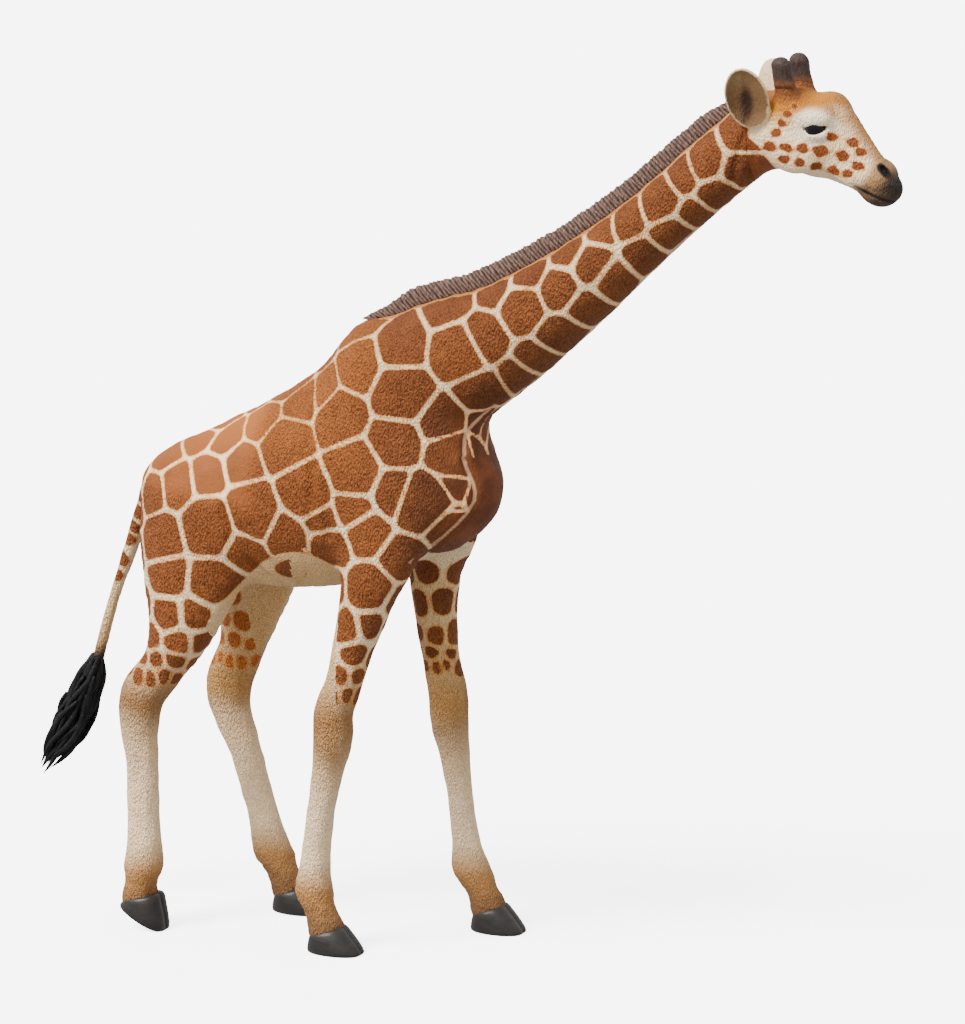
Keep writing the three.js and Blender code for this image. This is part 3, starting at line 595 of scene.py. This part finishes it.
edge = np.maximum(edge, np.minimum(belly_spot, 0.6))
nearest = np.argmin([limb(points) for limb in limbs.values()], axis=0)
for k, name in enumerate(LEGS):
    inward = ramp(ny * INWARD[name], 0.15, 0.6) * (nearest == k) * ramp(z, 82, 76)
    edge = edge - 3 * inward * (owner < planned)
edge = np.where(z < COAT_END, -3, edge)
jaw_line = 60.5 + 5.5 * ramp(z, 163.5, 158)
edge = np.minimum(edge, jaw_line - x + 0.3 * noise(points, 1.5, 9))
face_plan = np.vstack([row(*rule, FACE_STRAY) for rule in FACE_ROWS])
face_seeds = np.vstack([across(face_plan[:, :2], s) for s in (-1, 1)])
face_radii = np.tile(face_plan[:, 2], 2)
on_face = x > FACE_X
near_face = points[on_face]
wander = 1 + 0.3 * noise(near_face, 0.9, 31)[:, None]
d = norm((near_face[:, None] - face_seeds[None]) * [0.9, 1, 1.25], axis=2) * wander
edge[on_face] = np.maximum(edge[on_face], (face_radii[None] + 0.3 - d).max(1))


def colour(r, g, b):
    """A paint as sRGB from 0 to 255, made linear."""
    v = np.array([r, g, b]) / 255
    return np.where(v <= 0.04045, v / 12.92, ((v + 0.055) / 1.055) ** 2.4)


CREAM = colour(250, 228, 186)
WARM = colour(250, 218, 152)
WHITE = colour(238, 208, 168)
OCHRE = colour(118, 70, 26)
SHIN = colour(226, 196, 156)
FACE_OCHRE = colour(176, 108, 12)
DARK = colour(32, 24, 20)
BROWN = colour(120, 64, 20)

ground = np.tile(CREAM, (len(points), 1))


def paint(mask, tint):
    global ground
    ground = ground + np.clip(mask, 0, 1)[:, None] * (tint - ground)


def paint_face(mask, tint):
    paint(on_face * mask, tint)


soft = noise(points, 5.0, 11)
paint(0.6 * on_back, WARM)
paint(belly * (0.75 + 0.25 * soft), colour(222, 180, 122))
paint(ramp(z + 2 * soft, 46, 36), SHIN)
for k, name in enumerate(LEGS):
    mine = nearest == k
    below = 10.5 if name.startswith("fore") else 7.0
    off = z - 47 + 1.2 * soft
    paint(mine * np.exp(-(off / np.where(off > 0, 7.5, below)) ** 2) * 0.95, OCHRE)
    paint(mine * ramp(z + 0.8 * soft, 20, 11.5), colour(160, 112, 62))
    paint(mine * ramp(z + 0.7 * soft, 11.5, 6.5) * 0.75, colour(90, 60, 36))
    paint(mine * 0.28 * ramp(z, 26, 40), colour(190, 142, 90))
    inward = ramp(ny * INWARD[name], -0.1, 0.5) * mine * ramp(z, 76, 70) * ramp(z, 40, 46)
    paint(0.55 * inward, colour(192, 142, 76))
paint_face(1.0, WHITE)
paint_face(ramp(noise(points, 2.6, 41) - 0.1, -0.1, 0.7) * 0.45, colour(214, 170, 112))
paint_face(ramp(z - 0.25 * (x - 70) + 0.5 * soft, 166.2, 169.2) * ramp(x, 88, 80), FACE_OCHRE)
crown = ramp(z - 0.1 * (x - 70) + 0.6 * soft, 167.6, 171.0) * ramp(x, 74, 69)
paint_face(crown * 0.75, colour(116, 64, 24))
bridge = ramp(nz + 0.35 * nx, 0.4, 0.85) * ramp(x, 72, 76)
paint_face(bridge * (0.85 + 0.15 * soft), colour(150, 96, 42))
paint_face(ramp(x + 0.5 * (156 - z) + 0.4 * soft, 80.6, 83.2), colour(146, 110, 70))
paint_face(ramp(x + 0.75 * (154 - z) + 0.5 * soft, 82.0, 84.6) * 0.8, colour(66, 48, 34))
paint_face(ramp(x + 0.75 * (154 - z) + 0.5 * soft, 83.6, 85.8), DARK)
chin = ramp(x, 78.5, 81) * ramp(z + 0.3 * (x - 80), 157.0, 155.0)
paint(chin * (0.35 + 0.4 * ramp(noise(points, 1.2, 51), -0.4, 0.6)), colour(84, 62, 44))
own_eye = EYE * np.column_stack([np.ones(len(y)), np.sign(y), np.ones(len(y))])
eye_far = norm(points - own_eye, axis=1)
paint_face(ramp(eye_far, 4.4, 3.2) * ramp(z, 170, 168), colour(236, 214, 186))
nostril = np.min([hole(points) for _, hole in TAKEN[::2]], axis=0)
paint(ramp(nostril, 0.6, 0.2), colour(12, 9, 8))
mouth_line = near_line(points, CREASES[-1][0])
paint_face(ramp(mouth_line, 0.45, 0.15) * ramp(x, 80, 81.5), colour(40, 28, 22))
ear_near = np.min([outer(points) for outer, _ in EARS], axis=0)
ear_deep = np.min([hollow(points) for _, hollow in EARS], axis=0)
ear = (ear_near < 0.35) & (z > 165.0) & (x < 66)
paint(ear * 1.0, colour(214, 184, 142))
in_ear = ear * ramp(ear_deep, 0.3, 0.0)
paint(in_ear, colour(126, 98, 64))
paint(in_ear * ramp(z + 0.8 * soft, 174, 169), colour(96, 68, 40))
for s, _ in SIDES:
    heart = norm((points - [60.2, s * 6.8, 169.2]) / [1.1, 4, 3.0], axis=1)
    paint(in_ear * ramp(heart, 1.5, 0.5), colour(44, 24, 14))
tips = np.max([-horn(points) for horn in horn_cores], axis=0) > -0.5
paint(tips * ramp(z + 0.5 * soft, 169.0, 171.6) * 0.8, colour(96, 52, 22))
by_mane = ramp(np.abs(y), 3.4, 2.4) * ramp(nz, 0.5, 0.7) * (x > -18) * (x < 60)
paint(by_mane, colour(186, 120, 58))
edge = edge - 3 * by_mane * (ramp(np.abs(y), 2.6, 2.2))
edge = np.where(ear, -3, edge)
fold = curve(CREASES[0][0], BENDS)[::-1]
breast = (x > np.interp(z, fold[:, 1], fold[:, 0])) & (z > 79.5) & (z < 99)
edge = np.where(breast, np.maximum(edge, 0.8), edge)  # one brown patch in front of the brisket's fold
on_tail = (x < -66) & (tail(points) < 0.8)
paint(on_tail * ramp(z, 56, 51), DARK)

brown = np.tile(BROWN, (len(points), 1))
# painted light: the brown patches on top of the back are lighter, as if lit from above, besides each patch's
# own tone and a soft noise
back_light_and_tone = 0.5 * on_back + 0.12 * tones[owner] + 0.10 * soft
brown = brown + np.clip(back_light_and_tone, 0, 1)[:, None] * (colour(158, 90, 30) - brown)
# painted shade: the brown is darker at the front, most on the chest and the base of the neck, which face away
# from the key light; patches of lighter tone less so
front = ramp(x, -22, -4)
front_shade_and_tone = 0.3 * front + 0.5 * ramp(x, -8, 6) * ramp(z, 116, 104) * ramp(z, 76, 80) - 0.12 * tones[owner]
front_shade_and_tone = np.clip(front_shade_and_tone, 0, 1)
brown = brown + front_shade_and_tone[:, None] * (colour(70, 32, 10) - brown)
face_brown = on_face & (edge > -0.5)
brown[face_brown] = colour(118, 58, 18)
low = ramp(z, 57, 50)[:, None] * (x > -70)[:, None] * 0.45
brown = brown + low * (colour(120, 72, 34) - brown)
orange = (owner >= planned) & (nearest == 3) & (ny < 0.2) & (z < 66)
brown[orange] = colour(170, 92, 30)
fur = 1 - 0.85 * ramp(z + 0.1 * x, 81.0, 86.0) * ramp(x, -34, -41) - 0.75 * on_breast - 0.5 * on_face
fur = np.clip(fur, 0.15, 1) * (1 - 0.25 * ramp(z, 44, 36)) * np.where(ear, 0.4, 1)

# ---- Meshes and materials ----


def place_in_scene(name, data):
    made = bpy.data.objects.new(name, data)
    bpy.context.scene.collection.objects.link(made)
    return made


def make_mesh(name, verts, faces):
    """A smooth piece from points in the body's own frame, moved onto the CAD."""
    mesh = bpy.data.meshes.new(name)
    mesh.from_pydata((np.asarray(verts) + SHIFT) * MM, [], [list(face) for face in faces])
    mesh.validate()
    mesh.polygons.foreach_set("use_smooth", [True] * len(mesh.polygons))
    piece = place_in_scene(name, mesh)
    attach(piece, "root")
    return piece


def put(piece, name, values):
    values = np.asarray(values, float)
    kind = "FLOAT" if values.ndim == 1 else "FLOAT_COLOR"
    layer = piece.data.attributes.new(name, kind, "POINT")
    if kind == "FLOAT":
        layer.data.foreach_set("value", values)
    else:
        layer.data.foreach_set("color", np.column_stack([values, np.ones(len(values))]).ravel())


class Nodes:
    """A node tree, filled one node at a time."""

    def __init__(self, tree):
        self.tree = tree

    def node(self, kind, inputs=(), **settings):
        made = self.tree.nodes.new(kind)
        for key, value in settings.items():
            setattr(made, key, value)
        for key, value in dict(inputs).items():
            self.feed(made.inputs[key], value)
        return made

    def feed(self, socket, value):
        if hasattr(value, "is_output"):
            self.tree.links.new(value, socket)
        elif isinstance(value, (tuple, list, np.ndarray)) and len(value) == 3 and socket.type == "RGBA":
            socket.default_value = (*value, 1)
        else:
            socket.default_value = value


class Paint(Nodes):
    """A material's nodes."""

    def __init__(self, name):
        self.material = bpy.data.materials.new(name)
        self.material.use_nodes = True
        super().__init__(self.material.node_tree)
        self.shader = self.tree.nodes["Principled BSDF"]
        self.at = self.node("ShaderNodeTexCoord").outputs["Object"]

    def times(self, a, b):
        return self.math("MULTIPLY", a, b)

    def math(self, operation, *values):
        return self.node("ShaderNodeMath", dict(enumerate(values)), operation=operation).outputs[0]

    def mix(self, share, a, b, blend="MIX"):
        made = self.node("ShaderNodeMix", data_type="RGBA", blend_type=blend)
        self.feed(made.inputs[0], share)
        self.feed(made.inputs[6], a)
        self.feed(made.inputs[7], b)
        return made.outputs[2]

    def attribute(self, name, output):
        return self.node("ShaderNodeAttribute", attribute_name=name).outputs[output]

    def stretch(self, x, y, z):
        made = self.node("ShaderNodeMapping", {"Vector": self.at, "Scale": (x, y, z)})
        return made.outputs["Vector"]

    def noise(self, scale, detail=3.0, rough=0.55, vector=None, distort=0.0):
        wants = {"Vector": self.at if vector is None else vector, "Scale": scale, "Detail": detail,
                 "Roughness": rough, "Distortion": distort}
        return self.node("ShaderNodeTexNoise", wants).outputs["Fac"]

    def step(self, value, low, high, a=0.0, b=1.0):
        wants = {"Value": value, "From Min": low, "From Max": high, "To Min": a, "To Max": b}
        return self.node("ShaderNodeMapRange", wants, interpolation_type="SMOOTHSTEP").outputs[0]

    def bump(self, height, distance, strength=1.0):
        wants = {"Height": height, "Distance": distance, "Strength": strength}
        return self.node("ShaderNodeBump", wants).outputs["Normal"]

    def finish(self, colour, roughness, normal=None, specular=0.5):
        self.feed(self.shader.inputs["Base Color"], colour)
        self.feed(self.shader.inputs["Roughness"], roughness)
        self.shader.inputs["Specular IOR Level"].default_value = specular
        if normal is not None:
            self.feed(self.shader.inputs["Normal"], normal)
        return self.material


def coat_material():
    m = Paint("painted_coat")
    edge = m.attribute("edge", "Fac")
    fur = m.attribute("fur", "Fac")
    ground = m.attribute("ground", "Color")
    brown = m.attribute("brown", "Color")
    ridges = m.noise(1.0, 1.5, 0.5, m.stretch(3300, 3300, 1700), 0.3)
    ridge = m.step(ridges, 0.34, 0.54)
    fine = m.noise(5200, 2.0, 0.6)
    ragged = m.noise(1.0, 3.0, 0.65, m.stretch(2600, 2600, 1100), 0.4)
    edge = m.math("ADD", edge, m.math("MULTIPLY_ADD", ragged, 0.6, -0.3))
    patch = m.step(edge, -0.06, 0.08)
    halo = m.step(edge, -0.5, 0.02)
    warm = m.mix(m.times(halo, 0.85), ground, colour(196, 118, 40))
    # painted shade and highlight of the fur relief: the valleys take a darker copy of the brown, a wash that
    # also stands for their shade, and the ridges a lighter, lit copy
    wash_and_shade = m.times(m.math("SUBTRACT", 1.0, ridge), fur)
    deep = m.mix(1.0, brown, (0.5, 0.43, 0.38), "MULTIPLY")
    ridge_lit_brown = m.mix(1.0, brown, (1.1, 1.1, 1.08), "MULTIPLY")
    tone = m.mix(m.times(fur, 0.8), brown, ridge_lit_brown)
    tone = m.mix(m.times(wash_and_shade, 0.85), tone, deep)
    blot = m.step(m.noise(260, 3.0), 0.35, 0.7)
    tone = m.mix(m.times(blot, 0.2), tone, colour(150, 84, 38))
    # painted shade: the cream is also darker in the relief's valleys, partly a wash
    cream_wash_and_shade = m.mix(1.0, warm, (0.68, 0.58, 0.46), "MULTIPLY")
    warm = m.mix(m.times(wash_and_shade, 0.25), warm, cream_wash_and_shade)
    out = m.mix(patch, warm, tone)
    speck = m.step(m.noise(900, 2.0), 0.66, 0.74)
    out = m.mix(m.times(speck, 0.12), out, colour(110, 72, 38))
    seam = m.times(m.step(m.attribute("seam", "Fac"), 0.34, 0.12), 0.75)
    out = m.mix(seam, out, colour(206, 158, 122))
    height = m.math("ADD", m.times(ridges, fur), m.times(fine, 0.05))
    normal = m.bump(height, 0.0011, 1.0)
    return m.finish(out, m.step(fine, 0.3, 0.7, 0.62, 0.74), normal, 0.22)


def plain_material(name, tint, dark, roughness, scale=(1, 1, 1), size=900, lift=0.0001, specular=0.4):
    m = Paint(name)
    grain = m.noise(1.0, 3.0, 0.6, m.stretch(*(size * s for s in scale)), 0.5)
    shade = m.step(grain, 0.3, 0.7)
    fine = m.noise(6000, 2.0)
    out = m.mix(shade, dark, tint)
    height = m.math("ADD", shade, m.times(fine, 0.2))
    rough = m.step(fine, 0.3, 0.7, roughness - 0.05, roughness + 0.06)
    return m.finish(out, rough, m.bump(height, lift), specular)


# ---- The skin ----

skin = make_mesh("skin", points, tris)
for label, values in (("edge", edge), ("fur", fur), ("ground", ground), ("brown", brown),
                      ("seam", np.minimum(pale_line, 3))):
    put(skin, label, values)
skin.data.materials.append(coat_material())


def unwrap(piece, verts, faces, part_of):
    """Lays each part's faces flat from the six sides of a box, each side in a room of its own."""
    a, b, c = (verts[faces[:, k]] for k in range(3))
    n = np.cross(b - a, c - a)
    axis = np.abs(n).argmax(1)
    side = 2 * axis + (n[np.arange(len(n)), axis] > 0)
    room = part_of * 6 + side
    flat = np.empty((len(faces), 3, 2))
    for k in range(3):
        keep = [i for i in range(3) if i != k]
        flat[axis == k] = verts[faces[axis == k]][:, :, keep]
    rooms = []
    for r in np.unique(room):
        inside = flat[room == r].reshape(-1, 2)
        low, high = inside.min(0), inside.max(0)
        turn = (high - low)[1] > (high - low)[0]
        rooms.append((r, low, (high - low)[::-1] if turn else high - low, turn))
    rooms.sort(key=lambda row: -row[2][1])
    width = sqrt(sum((w + 1) * (h + 1) for _, _, (w, h), _ in rooms)) * 1.12
    u = v = tall = 0.0
    for r, low, size, turn in rooms:
        if u + size[0] > width:
            u, v, tall = 0.0, v + tall + 1.0, 0.0
        mine = room == r
        local = flat[mine] - low
        flat[mine] = (local[:, :, ::-1] if turn else local) + [u, v]
        u += size[0] + 1.0
        tall = max(tall, size[1])
    flat = flat / (max(width, v + tall) * 1.01) + 0.003
    layer = piece.data.uv_layers.new(name="OFBake")
    layer.data.foreach_set("uv", flat.reshape(-1))


middle = points[tris].mean(1)
in_leg = nearest[tris[:, 0]] + 1
part = np.where(middle[:, 2] < 74, in_leg, 0)
part = np.where((middle[:, 0] > 59) & (middle[:, 2] > 146), 5, part)
part = np.where(tail(middle) < 1.0, np.where(middle[:, 0] < -65, 6, part), part)
for k, (outer, _) in enumerate(EARS):
    part = np.where((outer(middle) < 0.5) & (middle[:, 2] > 166), 7 + k, part)
part = np.where((part == 0) & (middle[:, 0] > -2) & (middle[:, 2] > 104), 9, part)
unwrap(skin, points, tris, part)
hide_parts("trunk", "neck", "head", "jaw", "ear_right", "ear_left", "tail",
            *(f"{leg}_{half}_leg" for leg in LEGS for half in ("upper", "lower")))

# ---- Eyes and horns ----


def ball(centre, radius, rows=24, around=32):
    lat = np.linspace(0, pi, rows + 1)[1:-1]
    lon = np.linspace(0, 2 * pi, around, endpoint=False)
    verts = [[0, 0, 1]] + [[sin(a) * cos(b), sin(a) * sin(b), cos(a)]
                           for a in lat for b in lon] + [[0, 0, -1]]
    faces = [[0, 1 + i, 1 + (i + 1) % around] for i in range(around)]
    for r in range(rows - 2):
        for i in range(around):
            p, q = 1 + r * around + i, 1 + r * around + (i + 1) % around
            faces.append([p, p + around, q + around, q])
    last = len(verts) - 1
    faces += [[last, last - around + (i + 1) % around, last - around + i] for i in range(around)]
    return np.array(verts) * radius + centre, faces


eye_paint = Paint("eye_gloss")
streak = eye_paint.noise(700, 3.0)
eye_material = eye_paint.finish(eye_paint.mix(streak, colour(5, 4, 4), colour(18, 12, 9)),
                                eye_paint.step(streak, 0.3, 0.7, 0.16, 0.26),
                                eye_paint.bump(streak, 0.00002, 0.3), 0.2)
for s, side in SIDES:
    verts, faces = ball(EYE * [1, s, 1], EYE_RADIUS)
    piece = make_mesh(f"eyeball_{side}", verts, faces)
    piece.data.materials.append(eye_material)
    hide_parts(f"eye_{side}")


def rings_mesh(rings):
    """Faces between rings of the same number of points, with both ends closed."""
    n = len(rings[0])
    faces = []
    for r in range(len(rings) - 1):
        for i in range(n):
            a, b = r * n + i, r * n + (i + 1) % n
            faces.append([a, b, b + n, a + n])
    faces += [list(range(n))[::-1], [(len(rings) - 1) * n + i for i in range(n)]]
    return np.vstack(rings), faces


horn_paint = Paint("horn_paint")
height_in = horn_paint.attribute("rise", "Fac")
grain = horn_paint.noise(1.0, 3.0, 0.6, horn_paint.stretch(2600, 2600, 900), 0.6)
shade = horn_paint.step(grain, 0.3, 0.7)
horn_top = horn_paint.mix(shade, colour(34, 22, 17), colour(60, 38, 28))
horn_base = horn_paint.mix(shade, colour(88, 47, 20), colour(112, 62, 26))
climb = horn_paint.step(horn_paint.math("MULTIPLY_ADD", grain, 0.3, height_in), 0.1, 0.75)
horn_material = horn_paint.finish(horn_paint.mix(climb, horn_base, horn_top), 0.6,
                                  horn_paint.bump(shade, 0.00012), 0.35)
HORN_FOOT = 172.2  # where the horn rises out of the skin
HORN_SIDES = 28
for (s, side), horn in zip(SIDES, horn_cores):
    rings = []
    rise_of = []
    k0 = int(np.argmax(horn.path[:, 2] > HORN_FOOT))
    stations = [(horn.path[k], horn.half[k]) for k in range(k0, len(horn.path))]
    cap, size = stations[-1]
    stations += [(cap + np.array([-0.08, 0, 1.8]) * sin(a), size * max(cos(a), 0.04))
                 for a in np.linspace(0, pi / 2, 9)[1:]]
    for centre, half in stations:
        ring = []
        for a in np.linspace(0, 2 * pi, HORN_SIDES, endpoint=False):
            out = np.array([half[0] * cos(a), half[1] * sin(a), 0])
            ring.append(centre + out * (1.04 + 0.03 * sin(5 * a + centre[2] * 2)))
        rings.append(np.array(ring))
        rise_of += [(centre[2] - 172.5) / 3.2] * HORN_SIDES
    verts, faces = rings_mesh(rings)
    piece = make_mesh(f"horn_{side}", verts, faces)
    put(piece, "rise", rise_of)
    piece.data.materials.append(horn_material)
    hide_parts(f"ossicone_{side}")

# ---- Hooves ----

HOOF_WIDTH = 8.2
CLEFT = 0.36
HOOF_PROFILE = [(0, 0.9), (0, 0.4), (0.05, 0.12), (0.16, 0), (0.4, 0.03), (0.65, 0.12), (0.85, 0.25),
                (0.97, 0.42), (1.03, 0.9)]  # the share of the height, and how far in the wall lies there
hoof_material = plain_material("hoof_paint", colour(30, 25, 22), colour(19, 16, 14), 0.5, (1, 1, 2.0), 260,
                               0.00005)
for leg, ((toe_x, toe_y), pitch, length, heel, front, back_set) in HOOVES.items():
    lean = turned(y=-pitch)
    drop = FLOOR_Z - (0.45 if pitch else 0)
    for s, side in SIDES:
        wide = (HOOF_WIDTH - CLEFT) / 2
        rings = []
        for rise, inset in HOOF_PROFILE:
            back = -length + inset + 0.3 * rise
            ahead = -back_set * rise ** 1.15 - (inset if rise < 0.1 else 0.2 * inset)
            ring = []
            for a in np.linspace(0, pi, 21):
                u = (back + ahead) / 2 + (ahead - back) / 2 * cos(a)
                v = CLEFT / 2 + (wide - inset) * sin(a) ** 0.72
                top = min(heel + (front - heel) * (u + length) / (length - back_set), front)
                ring.append(lean @ np.array([u, s * v, rise * top]) + [toe_x, toe_y, drop])
            rings.append(np.maximum(np.array(ring[::-1] if s > 0 else ring), [-999, -999, FLOOR_Z]))
        verts, faces = rings_mesh(rings)
        piece = make_mesh(f"claw_{leg}_{side}", verts, faces)
        piece.data.materials.append(hoof_material)
        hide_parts(f"hoof_{leg}_{side}_claw")

# ---- Mane ----

mane_from, mane_to = np.array([-16.5, 0, 119.6]), np.array([59.5, 0, 168.6])
mane_way = mane_to - mane_from
mane_up = np.array([-mane_way[2], 0, mane_way[0]]) / norm(mane_way)


def crest(t):
    """The neck's top line over a point part way along the mane."""
    start = mane_from + mane_way * t - 4 * mane_up
    walk = start + np.linspace(0, 12, 241)[:, None] * mane_up
    return walk[np.argmax(flesh(walk) > 0)]


SPANS = 39
knots = np.array([crest(t) for t in np.linspace(0, 1, SPANS + 1)])
RIBS = 122
PHASES = 6
SECTION = [(0.95, -0.25), (1.0, 0.1), (0.95, 0.4), (0.82, 0.7), (0.55, 0.93), (0, 1.0)]
SECTION += [(-u, v) for u, v in SECTION[-2::-1]]
high_of = rng.uniform(0.95, 1.04, RIBS + 2)
lean_of = rng.uniform(-0.15, 0.15, RIBS + 2)
way = mane_way / norm(mane_way)
rings = []
for r in range(RIBS * PHASES + 1):
    t = r / (RIBS * PHASES)
    k = min(int(t * SPANS), SPANS - 1)
    root = knots[k] + (knots[k + 1] - knots[k]) * (t * SPANS - k)
    rib, phase = divmod(r, PHASES)
    full = min(1, 0.25 + 6 * t, 0.35 + 7 * (1 - t))
    bulge = sin(pi * phase / PHASES) ** 0.6
    high = (3.9 - 1.1 * t) * full * (0.9 + 0.1 * bulge) * high_of[rib]
    wide = 1.35 * (0.55 + 0.45 * full) * (0.8 + 0.22 * bulge)
    ring = []
    for across_it, up_it in SECTION:
        sway = way * (up_it * (-0.9 + lean_of[rib]) + 0.12 * sin(5 * up_it + 2.4 * rib))
        ring.append(root + mane_up * up_it * high + np.array([0, across_it * wide, 0]) + sway)
    rings.append(np.array(ring))
verts, faces = rings_mesh(rings)
mane = make_mesh("mane_ribs", verts, faces)
groove = np.repeat([sin(pi * (r % PHASES) / PHASES) for r in range(len(rings))], len(SECTION))
put(mane, "rib", groove)
hair = Paint("mane_paint")
strand = hair.step(hair.noise(1.0, 3.0, 0.6, hair.stretch(2600, 2600, 900), 0.4), 0.3, 0.7)
lit = hair.mix(strand, colour(74, 54, 46), colour(122, 92, 78))
# painted shade: the grooves between the mane's ribs are painted near black, and the ribs' faces keep the
# lighter brown
ribs_with_groove_shade = hair.mix(hair.step(hair.attribute("rib", "Fac"), 0.0, 0.85), colour(34, 23, 19), lit)
mane.data.materials.append(hair.finish(ribs_with_groove_shade, 0.62, hair.bump(strand, 0.00015), 0.25))
uv = mane.data.uv_layers.new(name="OFBake")
around = len(SECTION)
flat = []
for face in mane.data.polygons:
    for i in face.vertices:
        r, j = divmod(i, around)
        closing = face.vertices[0] % around == around - 1 and j == 0 and len(face.vertices) == 4
        flat += [0.005 + 0.985 * r / (len(rings) - 1), 0.01 + 0.11 * (around if closing else j) / around]
uv.data.foreach_set("uv", flat)
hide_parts("mane")

# ---- Tail tuft ----

tuft = Limb(TUFT)
verts_all, faces_all, uv_all, base_at = [], [], [], 0
LOCKS = 90
FIRST_LOCKS = 15  # these start at the tuft's root, the others on the way down
LOCK_STEPS = 12
LOCK_SIDES = 8
GOLDEN_TURN = 0.381966  # the golden angle, as a share of a turn
TUFT_PATCH = 0.003  # a lock's size on the UV map
for lock in range(LOCKS):
    turn = 2 * pi * lock * GOLDEN_TURN
    start = rng.uniform(0.0, 0.45) if lock >= FIRST_LOCKS else 0.0
    end = min(1.0, start + rng.uniform(0.35, 0.6))
    shell_at = rng.uniform(0.45, 0.98)
    phase = rng.uniform(0, 6.28)
    rings = []
    for j in range(LOCK_STEPS + 1):
        t = start + (end - start) * j / LOCK_STEPS
        pos = t * (len(tuft.path) - 1)
        k = min(int(pos), len(tuft.path) - 2)
        f = pos - k
        centre = tuft.path[k] * (1 - f) + tuft.path[k + 1] * f
        half = tuft.half[k] * (1 - f) + tuft.half[k + 1] * f
        angle = turn + 0.5 * sin(phase + 5.5 * t) + 1.0 * (t - start)
        deep, side_way = tuft.deep[k], tuft.side[k]
        out = deep * cos(angle) * half[0] + side_way * sin(angle) * half[1]
        middle_at = centre + out * shell_at * (0.88 + 0.12 * sin(phase + 9 * t))
        thick = 0.95 * sin(pi * (0.12 + 0.88 * j / LOCK_STEPS)) ** 0.7 + 0.06
        thick *= min(1.0, 0.45 + half[0] / 4)
        ring = []
        for a in np.linspace(0, 2 * pi, LOCK_SIDES, endpoint=False):
            ring.append(middle_at + (deep * cos(a) + side_way * sin(a)) * 0.62 * thick)
        rings.append(np.array(ring))
    verts, faces = rings_mesh(rings)
    verts_all.append(verts)
    faces_all += [[i + base_at for i in face] for face in faces]
    patch_u = 0.02 + 0.95 * ((turn / (2 * pi)) % 1)
    patch_v = 0.02 + 0.95 * start / 0.5
    for face in faces:
        for i in face:
            step, turned_by = divmod(i, LOCK_SIDES)
            uv_all += [patch_u + TUFT_PATCH * step / LOCK_STEPS,
                       patch_v + TUFT_PATCH * turned_by / LOCK_SIDES]
    base_at += len(verts)
tuft_piece = make_mesh("tuft_locks", np.vstack(verts_all), faces_all)
tuft_piece.data.uv_layers.new(name="OFBake").data.foreach_set("uv", uv_all)
tuft_piece.data.materials.append(plain_material("tuft_paint", colour(13, 13, 14), colour(4, 4, 5), 0.62,
                                                (1, 1, 0.5), 1600, 0.00012, 0.2))
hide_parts("tail_tuft")

# ---- Floor, light and camera ----

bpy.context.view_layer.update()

floor_mesh = bpy.data.meshes.new("floor")
REACH = 6  # metres from the middle to the floor's edge
corners = [(u * REACH, v * REACH, 0) for u, v in ((-1, -1), (1, -1), (1, 1), (-1, 1))]
floor_mesh.from_pydata(corners, [], [(0, 1, 2, 3)])
floor = place_in_scene("floor", floor_mesh)
floor_paint = Paint("pale_floor")
cloud = floor_paint.noise(30, 2.0)
pale = floor_paint.mix(cloud, (0.9, 0.9, 0.9), (0.93, 0.93, 0.93))
floor_mesh.materials.append(floor_paint.finish(pale, 0.9, specular=0.0))
floor_paint.shader.inputs["Emission Color"].default_value = (1, 1, 1, 1)
floor_paint.shader.inputs["Emission Strength"].default_value = 4.0
floor.visible_diffuse = False
floor.visible_glossy = False

world = bpy.data.worlds.new("studio")
bpy.context.scene.world = world
world.use_nodes = True
sky = Nodes(world.node_tree)
toward = sky.node("ShaderNodeTexCoord").outputs["Generated"]
up = sky.node("ShaderNodeSeparateXYZ", {0: toward}).outputs["Z"]
GLOW = {"From Min": -0.5, "From Max": 0.9, "To Min": 0.8, "To Max": 1.45}  # brighter from above
glow = sky.node("ShaderNodeMapRange", {"Value": up, **GLOW}).outputs[0]
background = sky.tree.nodes["Background"].inputs
sky.feed(background["Strength"], glow)
background["Color"].default_value = (1, 1, 1, 1)

sun = place_in_scene("key", bpy.data.lights.new("key", "SUN"))
sun.data.energy = 8.0
sun.data.angle = radians(24)
sun.rotation_euler = Vector((-0.42, -0.6, 0.9)).to_track_quat("Z", "Y").to_euler()

AZIMUTH, ELEVATION, DISTANCE = radians(24), radians(12), 1.0
AIM = np.array([0, 11, 85])
LENS, SENSOR = 182.8125, 36  # mm
aim = Vector(((AIM + SHIFT) * MM).tolist())
back = Vector((sin(AZIMUTH) * cos(ELEVATION), -cos(AZIMUTH) * cos(ELEVATION),
               sin(ELEVATION)))
camera = place_in_scene("camera", bpy.data.cameras.new("camera"))
camera.data.sensor_fit = "VERTICAL"
camera.data.sensor_height = SENSOR
camera.data.lens = LENS
camera.location = aim + back * DISTANCE
camera.rotation_euler = (-back).to_track_quat("-Z", "Y").to_euler()
camera.data.clip_end = 100
bpy.context.scene.camera = camera
